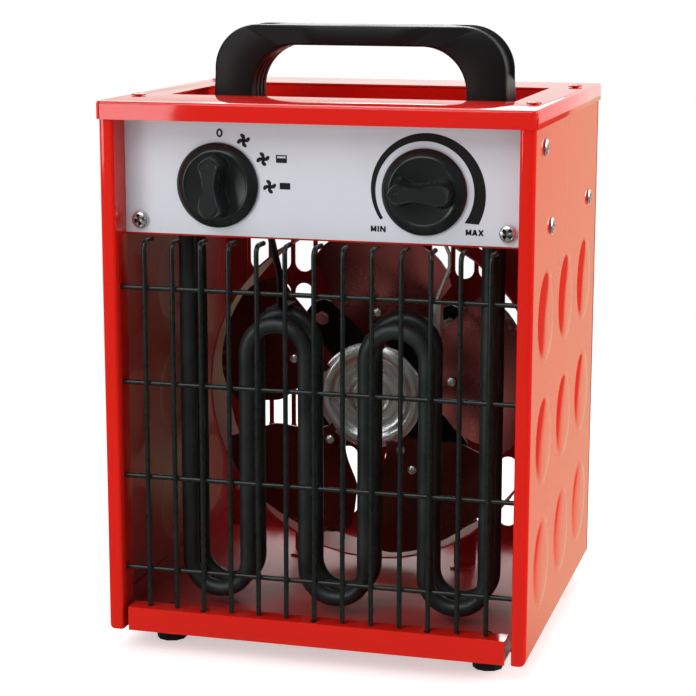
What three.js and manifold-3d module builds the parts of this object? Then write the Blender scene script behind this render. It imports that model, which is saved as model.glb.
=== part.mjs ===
// Box-shaped forced air heater: a folded sheet-steel case with a wire grille in front, two bent
// tubular heating elements, an axial fan on a motor behind them, and a control panel on top.
//
// Units are millimetres, +Z is up, +X is to the right seen from the front, and +Y runs back.
// The case is drawn with its front plane at y = 0 and the lower edge of its side panels at z = 0,
// and is then set on its feet with the origin under the middle of its bounding box.
import * as THREE from 'three';
import Module from 'manifold-3d';
import { mergeVertices } from 'three/addons/utils/BufferGeometryUtils.js';

const wasm = await Module();
wasm.setup();

// ---------------------------------------------------------------- driving dimensions

const SHEET = 1; // folded steel sheet of the case
const SEAT = 0.3; // gap between pieces that lie against each other
const BEND_R = 1.8; // outer radius of a folded edge

const COVER_W = 212;
const COVER_D = 192;
const COVER_TOP = 261; // top of the cover above the lower edge of the side panels
const COVER_FLANGE = 8.7; // height of the cover's turned-down rim
const COVER_CORNER_R = 1.6;
const COVER_EDGE_R = 1.4;

const COVER_SLIT = 0.5; // open joint between the front and side rims at each corner

const RECESS_MARGIN_X = 20.1; // the cover beside the handle recess
const RECESS_MARGIN_FRONT = 49;
const RECESS_MARGIN_BACK = 45.5;
const RECESS_DEPTH = 22;
const RECESS_LIP = 7; // flange of the recess tray under the cover

const POST_W = 7.3; // front flange of a side panel
const POST_RETURN = 15; // how far the return behind that flange runs back
const POST_CORNER_R = 3;
const SIDE_REAR_FLANGE = 12;
const SIDE_TOP_FLANGE = 14.5;
const SIDE_FOOT_FLANGE = 8;
const DIMPLE_R = 21.5; // round dished pressings in the side panels
const DIMPLE_DEPTH = 3;
const DIMPLE_PITCH_Y = 57;
const DIMPLE_PITCH_Z = 60.2;
const DIMPLE_COUNT = 3; // per row and per column

const LIP_INSET = 10.2; // front lip of the base tray, in from the case's sides
const LIP_HEIGHT = 11.9;
const LIP_FLANGE = 10.5;
const LIP_SLOT_L = 6; // slots in the lip's top for the longer uprights
const TRAY_WALL = 12; // upturned walls of the base tray and of the partition

const PANEL_SETBACK = 16.5; // control panel behind the front plane
const PANEL_BOTTOM = 196.9;

const SLOT_W = 10.7; // air slots of the rear panel
const SLOT_H = 40.1;
const SLOT_PITCH_X = 13.2;
const SLOT_PITCH_Z = 46.55;
const SLOT_FIRST_Z = 32.5; // centre of the lowest row
const SLOT_FREE_X = 50; // no slot nearer than this to the motor's middle
const SLOT_COLUMNS = 14;
const SLOT_ROWS = 4;

const WIRE_R = 1.2; // grille
const WIRE_PLANE = 5.8;
const WIRE_MARGIN = 9.96; // between the outer uprights and the lip's ends
const WIRE_COUNT = 13;
const WIRE_TOP = 193.9;
const WIRE_HOOK = 11;
const WIRE_BEND_R = 3.6;
const WIRE_BEND_STEPS = 2;
const WIRE_WELD = 0.2; // how far crossing wires are pressed together
const CROSS_WIRE_FIRST = 30.8;
const CROSS_WIRE_PITCH = 46.8;
const CROSS_WIRE_COUNT = 4;
const SLOTTED_WIRES = [2, 6, 10]; // the uprights that pass through the lip's slots

const ELEMENT_R = 4.1; // heating elements
const ELEMENT_PITCH = 30.6;
const ELEMENT_FRONT = 44;
const ELEMENT_REAR = 61;
const ELEMENT_LOW = 11.2; // centreline at the lowest point of the lower bends
const ELEMENT_ARCH = 149.4; // centreline at the top of the front element's arches
const ELEMENT_REAR_RISE = 3; // the rear element's arches stand this much higher
const ELEMENT_BEND_STEPS = 6;
const ELEMENT_STUB = 9; // leg above its collar
const PIN_R = 1.4; // connecting pin on the leg's end
const PIN_L = 6;
const COLLAR_R = 6.5;
const COLLAR_H = 6;

const FAN_Z = 101; // fan, its ring and its motor
const FAN_R = 86;
const FAN_HUB_R = 28;
const FAN_TO_REAR = 77.7; // from the hub's middle to the rear panel
const FAN_BLADES = 5;
const FAN_BLADE_ANGLE = 13; // of the first blade, from +X towards +Z
const FAN_BLADE_SPAN = 62; // degrees that a blade covers at its widest
const FAN_ROOT_SHARE = 0.34; // a blade's width at the hub, as a share of its widest
const FAN_PITCH = 23; // depth from a blade's leading to its trailing edge at the tip
const FAN_SHEET = 1.2;
const RING_R = 90;
const RING_TO_REAR = 72.2;
const RING_DEPTH = 26.5;
const RING_FOOT_W = 12;
const RING_FOOT_L = 10;
const SHAFT_R = 3;
const MOTOR_R = 31;
const MOTOR_DEPTH = 28;
const MOTOR_TO_REAR = 43.7; // from the motor plate's face to the rear panel
const MOTOR_PLATE_T = 1.5;
const MOTOR_BOLT_X = 35.3;
const MOTOR_BOLT_Z = 34;
const MOTOR_LOBE_R = 10;
const STUD_R = 2;
const SPACER_R = 4;
const NUT_R = 4;
const NUT_H = 3.2;

const HANDLE_FORWARD = 1.6; // handle, in front of the recess's middle
const HANDLE_DEPTH = 24.5;
const HANDLE_MARGIN = 10.3; // between the handle and the recess's ends
const HANDLE_LEG_W = 20.8;
const HANDLE_RISE = 33.2; // above the cover
const HANDLE_GRIP = 10.2;
const HANDLE_OUTER_R = 22.4;
const HANDLE_INNER_R = 22.4;
const HANDLE_EDGE_R = 2.2;

const KNOB_X = 50.46; // control knobs
const KNOB_Z = 221;
const KNOB_R = 20.3;
const KNOB_FACE_R = 16.3;
const KNOB_RIM = 1.5;
const KNOB_FACE = 4.2;
const KNOB_HEIGHT = 15.8;
const GRIP_LENGTH = 30;
const GRIP_WAIST = 6.4;
const GRIP_END = 10.8;
const GRIP_DRAFT = 0.6; // per side from the foot of the grip to its top
const GRIP_EDGE = 0.5;
const KNOB_SHAFT_R = 3;
const KNOB_SHAFT_IN = 14; // how far a knob's shaft reaches behind the panel's face
const CONTROL_CORNER_R = 3; // bodies of the switch and the thermostat
const SWITCH_HALF_W = 16;
const SWITCH_DEPTH = 22;
const THERMOSTAT_HALF_W = 18;
const THERMOSTAT_DEPTH = 18;
const THERMOSTAT_REST = -90; // the thermostat knob's pointer from upright

const FOOT_INSET_X = 23.2; // rubber feet
const FOOT_INSET_Y = 28;
const FOOT_R = 8.8;
const FOOT_TIP_R = 7.4;
const FOOT_H = 11;
const FOOT_STEM_R = 3;
const FOOT_STEM_L = 4; // above the floor

const HANGER_X = -36; // strap that steadies the elements' arches
const HANGER_W = 8;
const HANGER_FOLD_R = 1.2;

const CAPILLARY_R = 1; // thermostat's sensor
const BULB_R = 3;
const BULB_X = 47.5;
const BULB_Y = 72;
const BULB_L = 46;
const BULB_DROP = 37; // from the partition down to the bulb's top
const CAPILLARY_SWAY = 3; // how far the capillary bends to the side
const CAPILLARY_RISE = 8; // above the partition

const CUTOUT_X = 8; // thermal cut-out under the partition
const CUTOUT_Y = 84;
const CUTOUT_R = 8;
const CUTOUT_H = 9;

const TERMINAL_X = -8; // terminal block on the partition
const TERMINAL_TO_REAR = 31.7;
const TERMINAL_HALF_W = 22;
const TERMINAL_HALF_D = 8;
const TERMINAL_BASE = 6;
const TERMINAL_H = 13;
const TERMINAL_RIBS = 4;
const TERMINAL_RIB = 2;

const GLAND_X = -60; // cable inlet in the rear panel
const GLAND_Z = 222;
const GLAND_R = 6;
const GLAND_OUT = 7; // how far its bush stands out at the back

const GLAND_FLANGE_R = 10;
const GLAND_BORE_R = 4;
const GLAND_IN = 9;

const SCREW_R = 3.9;
const SCREW_HEAD = 2.6;
const SCREW_LOW_HEAD = 1.2; // of the screws in the cover and the sides
const SCREW_TOP_INSET = 7.25; // screws, in from the faces of the case
const SCREW_PANEL_INSET = 14.7;
const SCREW_REAR_INSET = 6;
const SCREW_PANEL_RISE = 6.2; // above the partition
const HANDLE_SCREW = 8;
const SCREW_SHANK_R = 1.6;
const SCREW_SHANK = 6;
const HOLE_CLEARANCE = 0.5; // round a shank, wire or stem in its hole

// ---------------------------------------------------------------- derived places

const COVER_UNDER = COVER_TOP - SHEET;
const SIDE_X = COVER_W / 2 - SHEET - SEAT; // outer face of a side panel
const SIDE_IN = SIDE_X - SHEET; // inner face
const SIDE_FRONT = SHEET + SEAT;
const SIDE_TOP = COVER_UNDER - SEAT;
const POST_IN = SIDE_X - POST_W;
const POST_BACK = SIDE_FRONT + POST_RETURN;
const REAR_OUT = COVER_D - SHEET - SEAT; // outer face of the rear panel
const REAR_IN = REAR_OUT - SHEET;
const SIDE_BACK = REAR_IN - SEAT;
const SIDE_REAR_IN = SIDE_BACK - SHEET;
const TRAY_HALF_W = SIDE_IN - SEAT; // anything that fits between the side panels
const TRAY_BACK = SIDE_REAR_IN - SEAT;
const FLOOR_Z = SHEET + SEAT; // underside of the base tray, on the foot flanges
const FLOOR_TOP = FLOOR_Z + SHEET;
const PANEL_BACK = PANEL_SETBACK + SHEET;
const LIP_HALF_W = SIDE_X - LIP_INSET;
const RECESS_HALF_W = COVER_W / 2 - RECESS_MARGIN_X;
const RECESS_FRONT = RECESS_MARGIN_FRONT;
const RECESS_BACK = COVER_D - RECESS_MARGIN_BACK;
const HANDLE_Y = (RECESS_FRONT + RECESS_BACK) / 2 - HANDLE_FORWARD;
const HANDLE_HALF_W = RECESS_HALF_W - HANDLE_MARGIN;
const HANDLE_INNER_HALF_W = HANDLE_HALF_W - HANDLE_LEG_W;
const FAN_HUB_Y = REAR_IN - FAN_TO_REAR;
const RING_FRONT = REAR_IN - RING_TO_REAR;
const MOTOR_PLATE_Y = REAR_IN - MOTOR_TO_REAR;
const WIRE_PITCH = 2 * (LIP_HALF_W - WIRE_MARGIN) / (WIRE_COUNT - 1);
const ELEMENT_LEG_X = 2.5 * ELEMENT_PITCH;
const FOOT_X = SIDE_X - FOOT_INSET_X;
const SHELF_Z = PANEL_BOTTOM - SHEET; // underside of the partition
const SHELF_TOP = SHELF_Z + SHEET;
const SHELF_FRONT = PANEL_BACK + SEAT;
const PANEL_TOP = SIDE_TOP - SHEET - SEAT;
const RECESS_FLOOR = COVER_TOP - RECESS_DEPTH; // top face of the tray's floor
const CASE_MID_Y = COVER_D / 2;
const CROSS_PLANE = WIRE_PLANE + 2 * WIRE_R - WIRE_WELD; // cross wires, behind the uprights
const HANGER_Y = (ELEMENT_FRONT + ELEMENT_REAR) / 2;
const SCREW_TOP_X = SIDE_X - SCREW_TOP_INSET;
const SCREW_TOP_Y = [36, 156];
const SCREW_SIDE = [[27, 242.2], [47.3, 203.3], [161.5, 203.4]]; // y, z on a side panel
const SCREW_PANEL_X = SIDE_X - SCREW_PANEL_INSET;
const SCREW_PANEL_Z = SHELF_TOP + SCREW_PANEL_RISE;
const SCREW_REAR_X = SIDE_X - SCREW_REAR_INSET;
const SCREW_REAR_Z = [24, 240];
const SCREW_HANDLE_X = (HANDLE_HALF_W + HANDLE_INNER_HALF_W) / 2;
const CONTROL_HALF_H = KNOB_Z - SHELF_Z - TRAY_WALL - SHEET; // clear of the partition's wall
const FEET_Y = [FOOT_INSET_Y, COVER_D - FOOT_INSET_Y];

// ---------------------------------------------------------------- finishes

const finish = (color, roughness, metalness) =>
  new THREE.MeshStandardMaterial({ color, roughness, metalness });
const RED = finish(0xd5281f, 0.35, 0);
const SILVER = finish(0xc9ccd3, 0.5, 0.3);
const BLACK = finish(0x14181a, 0.35, 0);
const KNOB_BLACK = finish(0x202827, 0.3, 0);
const ELEMENT = finish(0x20272a, 0.5, 0.5);
const WIRE = finish(0x3b4846, 0.45, 0.3);
const ALUMINIUM = finish(0xc4c7ca, 0.25, 1);
const STEEL = finish(0x9a9da0, 0.35, 1);
const DARK_STEEL = finish(0x2c2e30, 0.5, 0.8);
const RUBBER = finish(0x121314, 0.85, 0);
const PLASTIC = finish(0xd8d4c8, 0.6, 0);

// ---------------------------------------------------------------- solids

/** Turns a closed geometry into a solid with its faces pointing out. */
function solid(geometry) {
  const bare = geometry.clone();
  bare.deleteAttribute('normal');
  bare.deleteAttribute('uv');
  const merged = mergeVertices(bare, 1e-4);
  const corners = merged.attributes.position;
  const faces = Uint32Array.from(merged.index.array);
  const [a, b, c] = [new THREE.Vector3(), new THREE.Vector3(), new THREE.Vector3()];
  let volume = 0;
  for (let i = 0; i < faces.length; i += 3) {
    a.fromBufferAttribute(corners, faces[i]);
    b.fromBufferAttribute(corners, faces[i + 1]);
    c.fromBufferAttribute(corners, faces[i + 2]);
    volume += a.dot(b.cross(c));
  }
  if (volume < 0) faces.reverse();
  const vertProperties = Float32Array.from(corners.array);
  return new wasm.Manifold(new wasm.Mesh({ numProp: 3, vertProperties, triVerts: faces }));
}

/** Turns a solid back into a geometry. */
function geometryOf(body) {
  const mesh = body.getMesh();
  const geometry = new THREE.BufferGeometry();
  geometry.setAttribute('position', new THREE.BufferAttribute(mesh.vertProperties, 3));
  geometry.setIndex(new THREE.BufferAttribute(mesh.triVerts, 1));
  return geometry;
}

/** Moves a solid's geometry by a rotation and a translation. */
function place(body, position, rotation = [0, 0, 0]) {
  const euler = new THREE.Euler(...rotation);
  const turn = new THREE.Quaternion().setFromEuler(euler);
  const matrix = new THREE.Matrix4().compose(
    new THREE.Vector3(...position), turn, new THREE.Vector3(1, 1, 1));
  return solid(geometryOf(body).applyMatrix4(matrix));
}

const mirrorX = (body) => solid(geometryOf(body).applyMatrix4(new THREE.Matrix4().makeScale(-1, 1, 1)));
const union = (bodies) => bodies.reduce((sum, body) => sum.add(body));
const subtractAll = (body, cuts) => cuts.reduce((rest, cut) => rest.subtract(cut), body);

/** A box between two corners. */
function box(x0, x1, y0, y1, z0, z1) {
  const block = new THREE.BoxGeometry(x1 - x0, y1 - y0, z1 - z0);
  block.translate((x0 + x1) / 2, (y0 + y1) / 2, (z0 + z1) / 2);
  return solid(block);
}

/** A solid of revolution about +Z from (radius, height) pairs that start and end on the axis. */
function revolve(profile, segments) {
  const points = profile.map(([radius, height]) => new THREE.Vector2(radius, height));
  const lathe = new THREE.LatheGeometry(points, segments);
  lathe.rotateX(Math.PI / 2);
  return solid(lathe);
}

/** A cylinder of radius r about +Z from z0 to z1. */
const rod = (r, z0, z1, segments) => revolve([[0, z0], [r, z0], [r, z1], [0, z1]], segments);

/** Turns what was made about +Z so that it points to the front, back, left or right. */
const FACING = {
  up: [0, 0, 0],
  down: [Math.PI, 0, 0],
  front: [Math.PI / 2, 0, 0],
  back: [-Math.PI / 2, 0, 0],
  right: [0, Math.PI / 2, 0],
  left: [0, -Math.PI / 2, 0],
};

/** A flat outline drawn in X and Z, given a thickness in Y from y0 to y1. */
function plateXZ(shape, y0, y1, curveSegments = 6) {
  const slab = new THREE.ExtrudeGeometry(shape, { depth: y1 - y0, bevelEnabled: false, curveSegments });
  slab.rotateX(Math.PI / 2);
  slab.translate(0, y1, 0);
  return solid(slab);
}

/** A flat outline drawn in X and Y, given a thickness in Z from z0 to z1. */
function plateXY(shape, z0, z1, curveSegments = 6) {
  const slab = new THREE.ExtrudeGeometry(shape, { depth: z1 - z0, bevelEnabled: false, curveSegments });
  slab.translate(0, 0, z0);
  return solid(slab);
}

/** A rectangle with rounded corners, as a path of Type. */
function roundedRect(x0, x1, y0, y1, r, Type = THREE.Shape) {
  const path = new Type();
  path.moveTo(x0 + r, y0);
  path.lineTo(x1 - r, y0);
  path.absarc(x1 - r, y0 + r, r, -Math.PI / 2, 0, false);
  path.lineTo(x1, y1 - r);
  path.absarc(x1 - r, y1 - r, r, 0, Math.PI / 2, false);
  path.lineTo(x0 + r, y1);
  path.absarc(x0 + r, y1 - r, r, Math.PI / 2, Math.PI, false);
  path.lineTo(x0, y0 + r);
  path.absarc(x0 + r, y0 + r, r, Math.PI, Math.PI * 1.5, false);
  return path;
}

/** An upright slot with round ends, as a path of Type. */
function slotPath(x, z, width, height, Type = THREE.Path) {
  const r = width / 2;
  const rise = height / 2 - r;
  const path = new Type();
  path.moveTo(x + r, z - rise);
  path.absarc(x, z + rise, r, 0, Math.PI, false);
  path.absarc(x, z - rise, r, Math.PI, 2 * Math.PI, false);
  return path;
}

/**
 * The section of a strip of sheet folded along a polyline of [x, y] corners. The line is the
 * strip's outer face, and the sheet lies on its left. Folds are rounded to the outer radius.
 */
function foldedSection(corners, thickness, radius) {
  const line = corners.map(([x, y]) => new THREE.Vector2(x, y));
  const heading = (i) => line[i + 1].clone().sub(line[i]).normalize();
  const leftOf = (v) => new THREE.Vector2(-v.y, v.x);
  const inner = line.map((corner, i) => {
    const before = i > 0 ? heading(i - 1) : heading(0);
    const after = i < line.length - 1 ? heading(i) : before;
    const bisector = leftOf(before).add(leftOf(after)).normalize();
    return corner.clone().addScaledVector(bisector, thickness / bisector.dot(leftOf(before)));
  });
  const shape = new THREE.Shape();
  const run = (points, roundness) => {
    points.forEach((corner, i) => {
      if (i === 0 || i === points.length - 1) {
        if (shape.curves.length === 0 && i === 0 && points === line) shape.moveTo(corner.x, corner.y);
        else shape.lineTo(corner.x, corner.y);
        return;
      }
      const back = points[i - 1].clone().sub(corner).setLength(roundness).add(corner);
      const on = points[i + 1].clone().sub(corner).setLength(roundness).add(corner);
      shape.lineTo(back.x, back.y);
      shape.quadraticCurveTo(corner.x, corner.y, on.x, on.y);
    });
  };
  run(line, radius);
  run(inner.reverse(), Math.max(radius - thickness, 0.2));
  return shape;
}

/** A path through fixed stations, so that straight runs cost one step and bends a few. */
class StationPath extends THREE.Curve {
  constructor(stations) {
    super();
    this.stations = stations;
    this.steps = stations.length - 1;
  }

  getPoint(t, target = new THREE.Vector3()) {
    const at = Math.min(Math.max(t, 0), 1) * this.steps;
    const first = Math.min(Math.floor(at), this.steps - 1);
    return target.lerpVectors(this.stations[first], this.stations[first + 1], at - first);
  }

  getPointAt(u, target) {
    return this.getPoint(u, target);
  }

  getTangentAt(u, target = new THREE.Vector3()) {
    const at = Math.round(u * this.steps);
    const before = this.stations[Math.max(at - 1, 0)];
    const after = this.stations[Math.min(at + 1, this.steps)];
    return target.subVectors(after, before).normalize();
  }
}

/** A round bar of radius r swept along stations. */
function bar(stations, r, sides) {
  const section = new THREE.Shape();
  for (let i = 0; i < sides; i += 1) {
    const angle = (i + 0.5) / sides * 2 * Math.PI;
    if (i === 0) section.moveTo(r * Math.cos(angle), r * Math.sin(angle));
    else section.lineTo(r * Math.cos(angle), r * Math.sin(angle));
  }
  section.closePath();
  const extrudePath = new StationPath(stations);
  const options = { steps: extrudePath.steps, extrudePath, bevelEnabled: false, curveSegments: 1 };
  return solid(new THREE.ExtrudeGeometry(section, options));
}

/** Stations on an arc in a plane of constant y, from one angle to another, in degrees. */
function arcXZ(x, y, z, r, from, to, steps) {
  const stations = [];
  for (let i = 0; i <= steps; i += 1) {
    const angle = THREE.MathUtils.degToRad(from + (to - from) * i / steps);
    stations.push(new THREE.Vector3(x + r * Math.cos(angle), y, z + r * Math.sin(angle)));
  }
  return stations;
}

/** A closed solid through rings of points that all have the same count, capped by fans. */
function loft(rings) {
  const points = [];
  const index = [];
  const count = rings[0].length;
  rings.forEach((ring) => ring.forEach((p) => points.push(p.x, p.y, p.z)));
  for (let k = 0; k < rings.length - 1; k += 1) {
    for (let i = 0; i < count; i += 1) {
      const a = k * count + i;
      const b = k * count + (i + 1) % count;
      index.push(a, b, b + count, a, b + count, a + count);
    }
  }
  [0, rings.length - 1].forEach((k) => {
    const middle = rings[k].reduce((sum, p) => sum.add(p), new THREE.Vector3());
    middle.divideScalar(count);
    points.push(middle.x, middle.y, middle.z);
    const centre = points.length / 3 - 1;
    for (let i = 0; i < count; i += 1) {
      const a = k * count + i;
      const b = k * count + (i + 1) % count;
      if (k === 0) index.push(centre, b, a);
      else index.push(centre, a, b);
    }
  });
  const geometry = new THREE.BufferGeometry();
  geometry.setAttribute('position', new THREE.Float32BufferAttribute(points, 3));
  geometry.setIndex(index);
  return solid(geometry);
}

/** A six-sided hole whose flats clear a shank of radius r, along +Z through z0 to z1. */
const bore = (r, z0, z1) => rod((r + HOLE_CLEARANCE) / Math.cos(Math.PI / 6), z0, z1, 6);

/** A screw's hole through sheet whose seat is at a point, with the head on the named side. */
const screwHole = (point, side) => place(bore(SCREW_SHANK_R, -2 * SHEET, 2 * SHEET), point, FACING[side]);

// ---------------------------------------------------------------- pieces

const heater = new THREE.Group();
const shell = new THREE.Group();
shell.position.set(0, -(REAR_OUT + GLAND_OUT) / 2, FOOT_H);
heater.add(shell);

/** Adds one named piece, whose geometry is drawn in the case's frame unless it is placed. */
function add(name, body, material, position = [0, 0, 0], rotation = [0, 0, 0]) {
  const mesh = new THREE.Mesh(geometryOf(body), material);
  mesh.name = name;
  mesh.position.set(...position);
  mesh.rotation.set(...rotation);
  shell.add(mesh);
}

/** The pressed cover: a shallow tray upside down, with the handle recess cut out of it. */
function topCover() {
  const half = COVER_W / 2;
  const inset = COVER_EDGE_R;
  const outline = roundedRect(-half + inset, half - inset, inset, COVER_D - inset, COVER_CORNER_R);
  const block = new THREE.ExtrudeGeometry(outline, {
    depth: 2 * COVER_FLANGE,
    bevelThickness: COVER_EDGE_R,
    bevelSize: COVER_EDGE_R,
    bevelSegments: 3,
    curveSegments: 2,
  });
  block.translate(0, 0, COVER_TOP - 2 * COVER_FLANGE - COVER_EDGE_R);
  const rimZ = COVER_TOP - COVER_FLANGE;
  const blank = solid(block).subtract(
    box(-half - SHEET, half + SHEET, -SHEET, COVER_D + SHEET, rimZ - 2 * COVER_FLANGE, rimZ));
  const inside = box(-half + SHEET, half - SHEET, SHEET, COVER_D - SHEET, rimZ - SHEET, COVER_UNDER);
  const window = box(-RECESS_HALF_W, RECESS_HALF_W, RECESS_FRONT, RECESS_BACK,
    COVER_UNDER - SHEET, COVER_TOP + SHEET);
  const holes = [];
  [-1, 1].forEach((side) => SCREW_TOP_Y.forEach((y) => {
    holes.push(screwHole([side * SCREW_TOP_X, y, COVER_TOP], 'up'));
  }));
  const slits = [-1, 1].flatMap((side) => [SHEET, COVER_D - SHEET - COVER_SLIT].map((y) => box(
    Math.min(side * (half - 2 * SHEET), side * (half + SHEET)),
    Math.max(side * (half - 2 * SHEET), side * (half + SHEET)),
    y, y + COVER_SLIT, rimZ - SHEET, COVER_UNDER)));
  return subtractAll(blank, [inside, window, ...holes, ...slits]);
}

/** The tray that hangs in the cover's opening and carries the handle. */
function recessTray() {
  const x = RECESS_HALF_W + SHEET;
  const [front, back] = [RECESS_FRONT - SHEET, RECESS_BACK + SHEET];
  const top = COVER_UNDER - SEAT;
  const under = RECESS_FLOOR - SHEET;
  const tub = box(-x, x, front, back, under, top);
  const flange = box(-x, x, front - RECESS_LIP, back + RECESS_LIP, top - SHEET, top);
  const hollow = box(-RECESS_HALF_W, RECESS_HALF_W, RECESS_FRONT, RECESS_BACK, RECESS_FLOOR, top + SHEET);
  const holes = [-1, 1].map((side) => place(
    bore(SCREW_SHANK_R, under - SHEET, RECESS_FLOOR + SHEET), [side * SCREW_HANDLE_X, HANDLE_Y, 0]));
  return subtractAll(tub.add(flange).subtract(hollow), holes);
}

/** The right side panel, folded in at the front, back, top and foot, with its dished pressings. */
function sidePanel() {
  const section = foldedSection([
    [POST_IN, POST_BACK],
    [POST_IN, SIDE_FRONT],
    [SIDE_X, SIDE_FRONT],
    [SIDE_X, SIDE_BACK],
    [SIDE_X - SIDE_REAR_FLANGE, SIDE_BACK],
  ], SHEET, BEND_R);
  const wall = plateXY(section, 0, SIDE_TOP, 3);
  const [flangeFront, flangeBack] = [SIDE_FRONT + SHEET, SIDE_REAR_IN];
  const top = box(SIDE_X - SIDE_TOP_FLANGE, SIDE_IN + SHEET / 2, flangeFront, flangeBack,
    SIDE_TOP - SHEET, SIDE_TOP);
  const foot = box(SIDE_X - SIDE_FOOT_FLANGE, SIDE_IN + SHEET / 2, POST_BACK + SHEET, flangeBack, 0, SHEET);
  const trim = new THREE.Shape();
  trim.moveTo(0, 0);
  trim.lineTo(SIDE_X - POST_CORNER_R, 0);
  trim.absarc(SIDE_X - POST_CORNER_R, POST_CORNER_R, POST_CORNER_R, -Math.PI / 2, 0, false);
  trim.lineTo(SIDE_X, COVER_TOP);
  trim.lineTo(0, COVER_TOP);
  const envelope = plateXZ(trim, -SHEET, COVER_D + SHEET, 2);

  const dish = (sink) => revolve([
    [0, -DIMPLE_DEPTH - sink],
    [DIMPLE_R * 0.6, -DIMPLE_DEPTH * 0.75 - sink],
    [DIMPLE_R, -sink],
    [DIMPLE_R, SHEET / 2],
    [0, SHEET / 2],
  ], 12);
  const bulge = dish(SHEET).subtract(box(-DIMPLE_R, DIMPLE_R, -DIMPLE_R, DIMPLE_R, -SHEET / 2, SHEET));
  const bulges = [];
  const cuts = [];
  for (let row = 0; row < DIMPLE_COUNT; row += 1) {
    for (let column = 0; column < DIMPLE_COUNT; column += 1) {
      const y = CASE_MID_Y + (column - (DIMPLE_COUNT - 1) / 2) * DIMPLE_PITCH_Y;
      const z = FAN_Z + (row - (DIMPLE_COUNT - 1) / 2) * DIMPLE_PITCH_Z;
      bulges.push(place(bulge, [SIDE_X, y, z], FACING.right));
      cuts.push(place(dish(0), [SIDE_X, y, z], FACING.right));
    }
  }
  for (let row = 0; row < CROSS_WIRE_COUNT; row += 1) {
    const z = CROSS_WIRE_FIRST + row * CROSS_WIRE_PITCH;
    cuts.push(place(bore(WIRE_R, -POST_W / 2, SHEET * 2), [POST_IN, CROSS_PLANE, z], FACING.right));
  }
  SCREW_SIDE.forEach(([y, z]) => cuts.push(screwHole([SIDE_X, y, z], 'right')));
  SCREW_TOP_Y.forEach((y) => cuts.push(screwHole([SCREW_TOP_X, y, SIDE_TOP], 'up')));
  SCREW_REAR_Z.forEach((z) => cuts.push(screwHole([SCREW_REAR_X, SIDE_BACK, z], 'back')));
  return subtractAll(union([wall, top, foot]).intersect(envelope).add(union(bulges)), cuts);
}

/** The base tray: the floor, its upturned walls and the front lip with its slotted top. */
function baseTray() {
  const floor = box(-TRAY_HALF_W, TRAY_HALF_W, POST_BACK + SHEET, TRAY_BACK, FLOOR_Z, FLOOR_TOP);
  const apron = box(-LIP_HALF_W, LIP_HALF_W, SIDE_FRONT, POST_BACK + 2 * SHEET, FLOOR_Z, FLOOR_TOP);
  const lip = box(-LIP_HALF_W, LIP_HALF_W, SIDE_FRONT, SIDE_FRONT + SHEET, 0, LIP_HEIGHT);
  const shelf = box(-LIP_HALF_W, LIP_HALF_W, SIDE_FRONT, SIDE_FRONT + LIP_FLANGE,
    LIP_HEIGHT - SHEET, LIP_HEIGHT);
  const wall = (x0, x1, y0, y1) => box(x0, x1, y0, y1, FLOOR_Z, FLOOR_Z + TRAY_WALL);
  const left = wall(-TRAY_HALF_W, -TRAY_HALF_W + SHEET, POST_BACK + SHEET, TRAY_BACK);
  const right = wall(TRAY_HALF_W - SHEET, TRAY_HALF_W, POST_BACK + SHEET, TRAY_BACK);
  const cuts = [];
  SLOTTED_WIRES.forEach((i) => {
    const width = 2 * (WIRE_R + HOLE_CLEARANCE);
    const slot = slotPath(wireX(i), WIRE_PLANE, width, LIP_SLOT_L, THREE.Shape);
    cuts.push(plateXY(slot, LIP_HEIGHT - 2 * SHEET, LIP_HEIGHT + SHEET, 2));
  });
  [-1, 1].forEach((side) => FEET_Y.forEach((y) => {
    cuts.push(place(bore(FOOT_STEM_R, 0, FLOOR_TOP + SHEET), [side * FOOT_X, y, 0]));
  }));
  return subtractAll(union([floor, apron, lip, shelf, left, right]), cuts);
}

/** True where the rear panel has an air slot: none round the motor, nor in part of the top row. */
function slotIsOpen(column, row) {
  const x = (column - (SLOT_COLUMNS - 1) / 2) * SLOT_PITCH_X;
  if (row === 1 || row === 2) return Math.abs(x) > SLOT_FREE_X;
  if (row < SLOT_ROWS - 1) return true;
  return x < -3 * SLOT_PITCH_X || (x > SLOT_PITCH_X && x < 4 * SLOT_PITCH_X);
}

/** The outline of an air slot, each round end drawn with so many flats. */
function airSlot(x, z, flats = 3) {
  const r = SLOT_W / 2;
  const rise = SLOT_H / 2 - r;
  const path = new THREE.Path();
  [rise, -rise].forEach((shift, end) => {
    for (let i = 0; i <= flats; i += 1) {
      const angle = (end + i / flats) * Math.PI;
      const [px, pz] = [x + r * Math.cos(angle), z + shift + r * Math.sin(angle)];
      if (end + i === 0) path.moveTo(px, pz);
      else path.lineTo(px, pz);
    }
  });
  path.closePath();
  return path;
}

/** The flat rear panel with its rows of upright round-ended air slots. */
function rearPanel() {
  const outline = roundedRect(-SIDE_X, SIDE_X, 0, SIDE_TOP, POST_CORNER_R);
  for (let row = 0; row < SLOT_ROWS; row += 1) {
    for (let column = 0; column < SLOT_COLUMNS; column += 1) {
      if (slotIsOpen(column, row)) {
        const x = (column - (SLOT_COLUMNS - 1) / 2) * SLOT_PITCH_X;
        const z = SLOT_FIRST_Z + row * SLOT_PITCH_Z;
        outline.holes.push(airSlot(x, z));
      }
    }
  }
  const sheet = plateXZ(outline, REAR_IN, REAR_OUT, 2);
  const cuts = [];
  [-1, 1].forEach((side) => SCREW_REAR_Z.forEach((z) => {
    cuts.push(screwHole([side * SCREW_REAR_X, REAR_OUT, z], 'back'));
  }));
  motorBolts().forEach(([x, z]) => {
    cuts.push(place(bore(STUD_R, -2 * SHEET, SHEET), [x, REAR_OUT, z], FACING.back));
  });
  cuts.push(place(bore(GLAND_R, -2 * SHEET, SHEET), [GLAND_X, REAR_OUT, GLAND_Z], FACING.back));
  return subtractAll(sheet, cuts);
}

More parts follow.
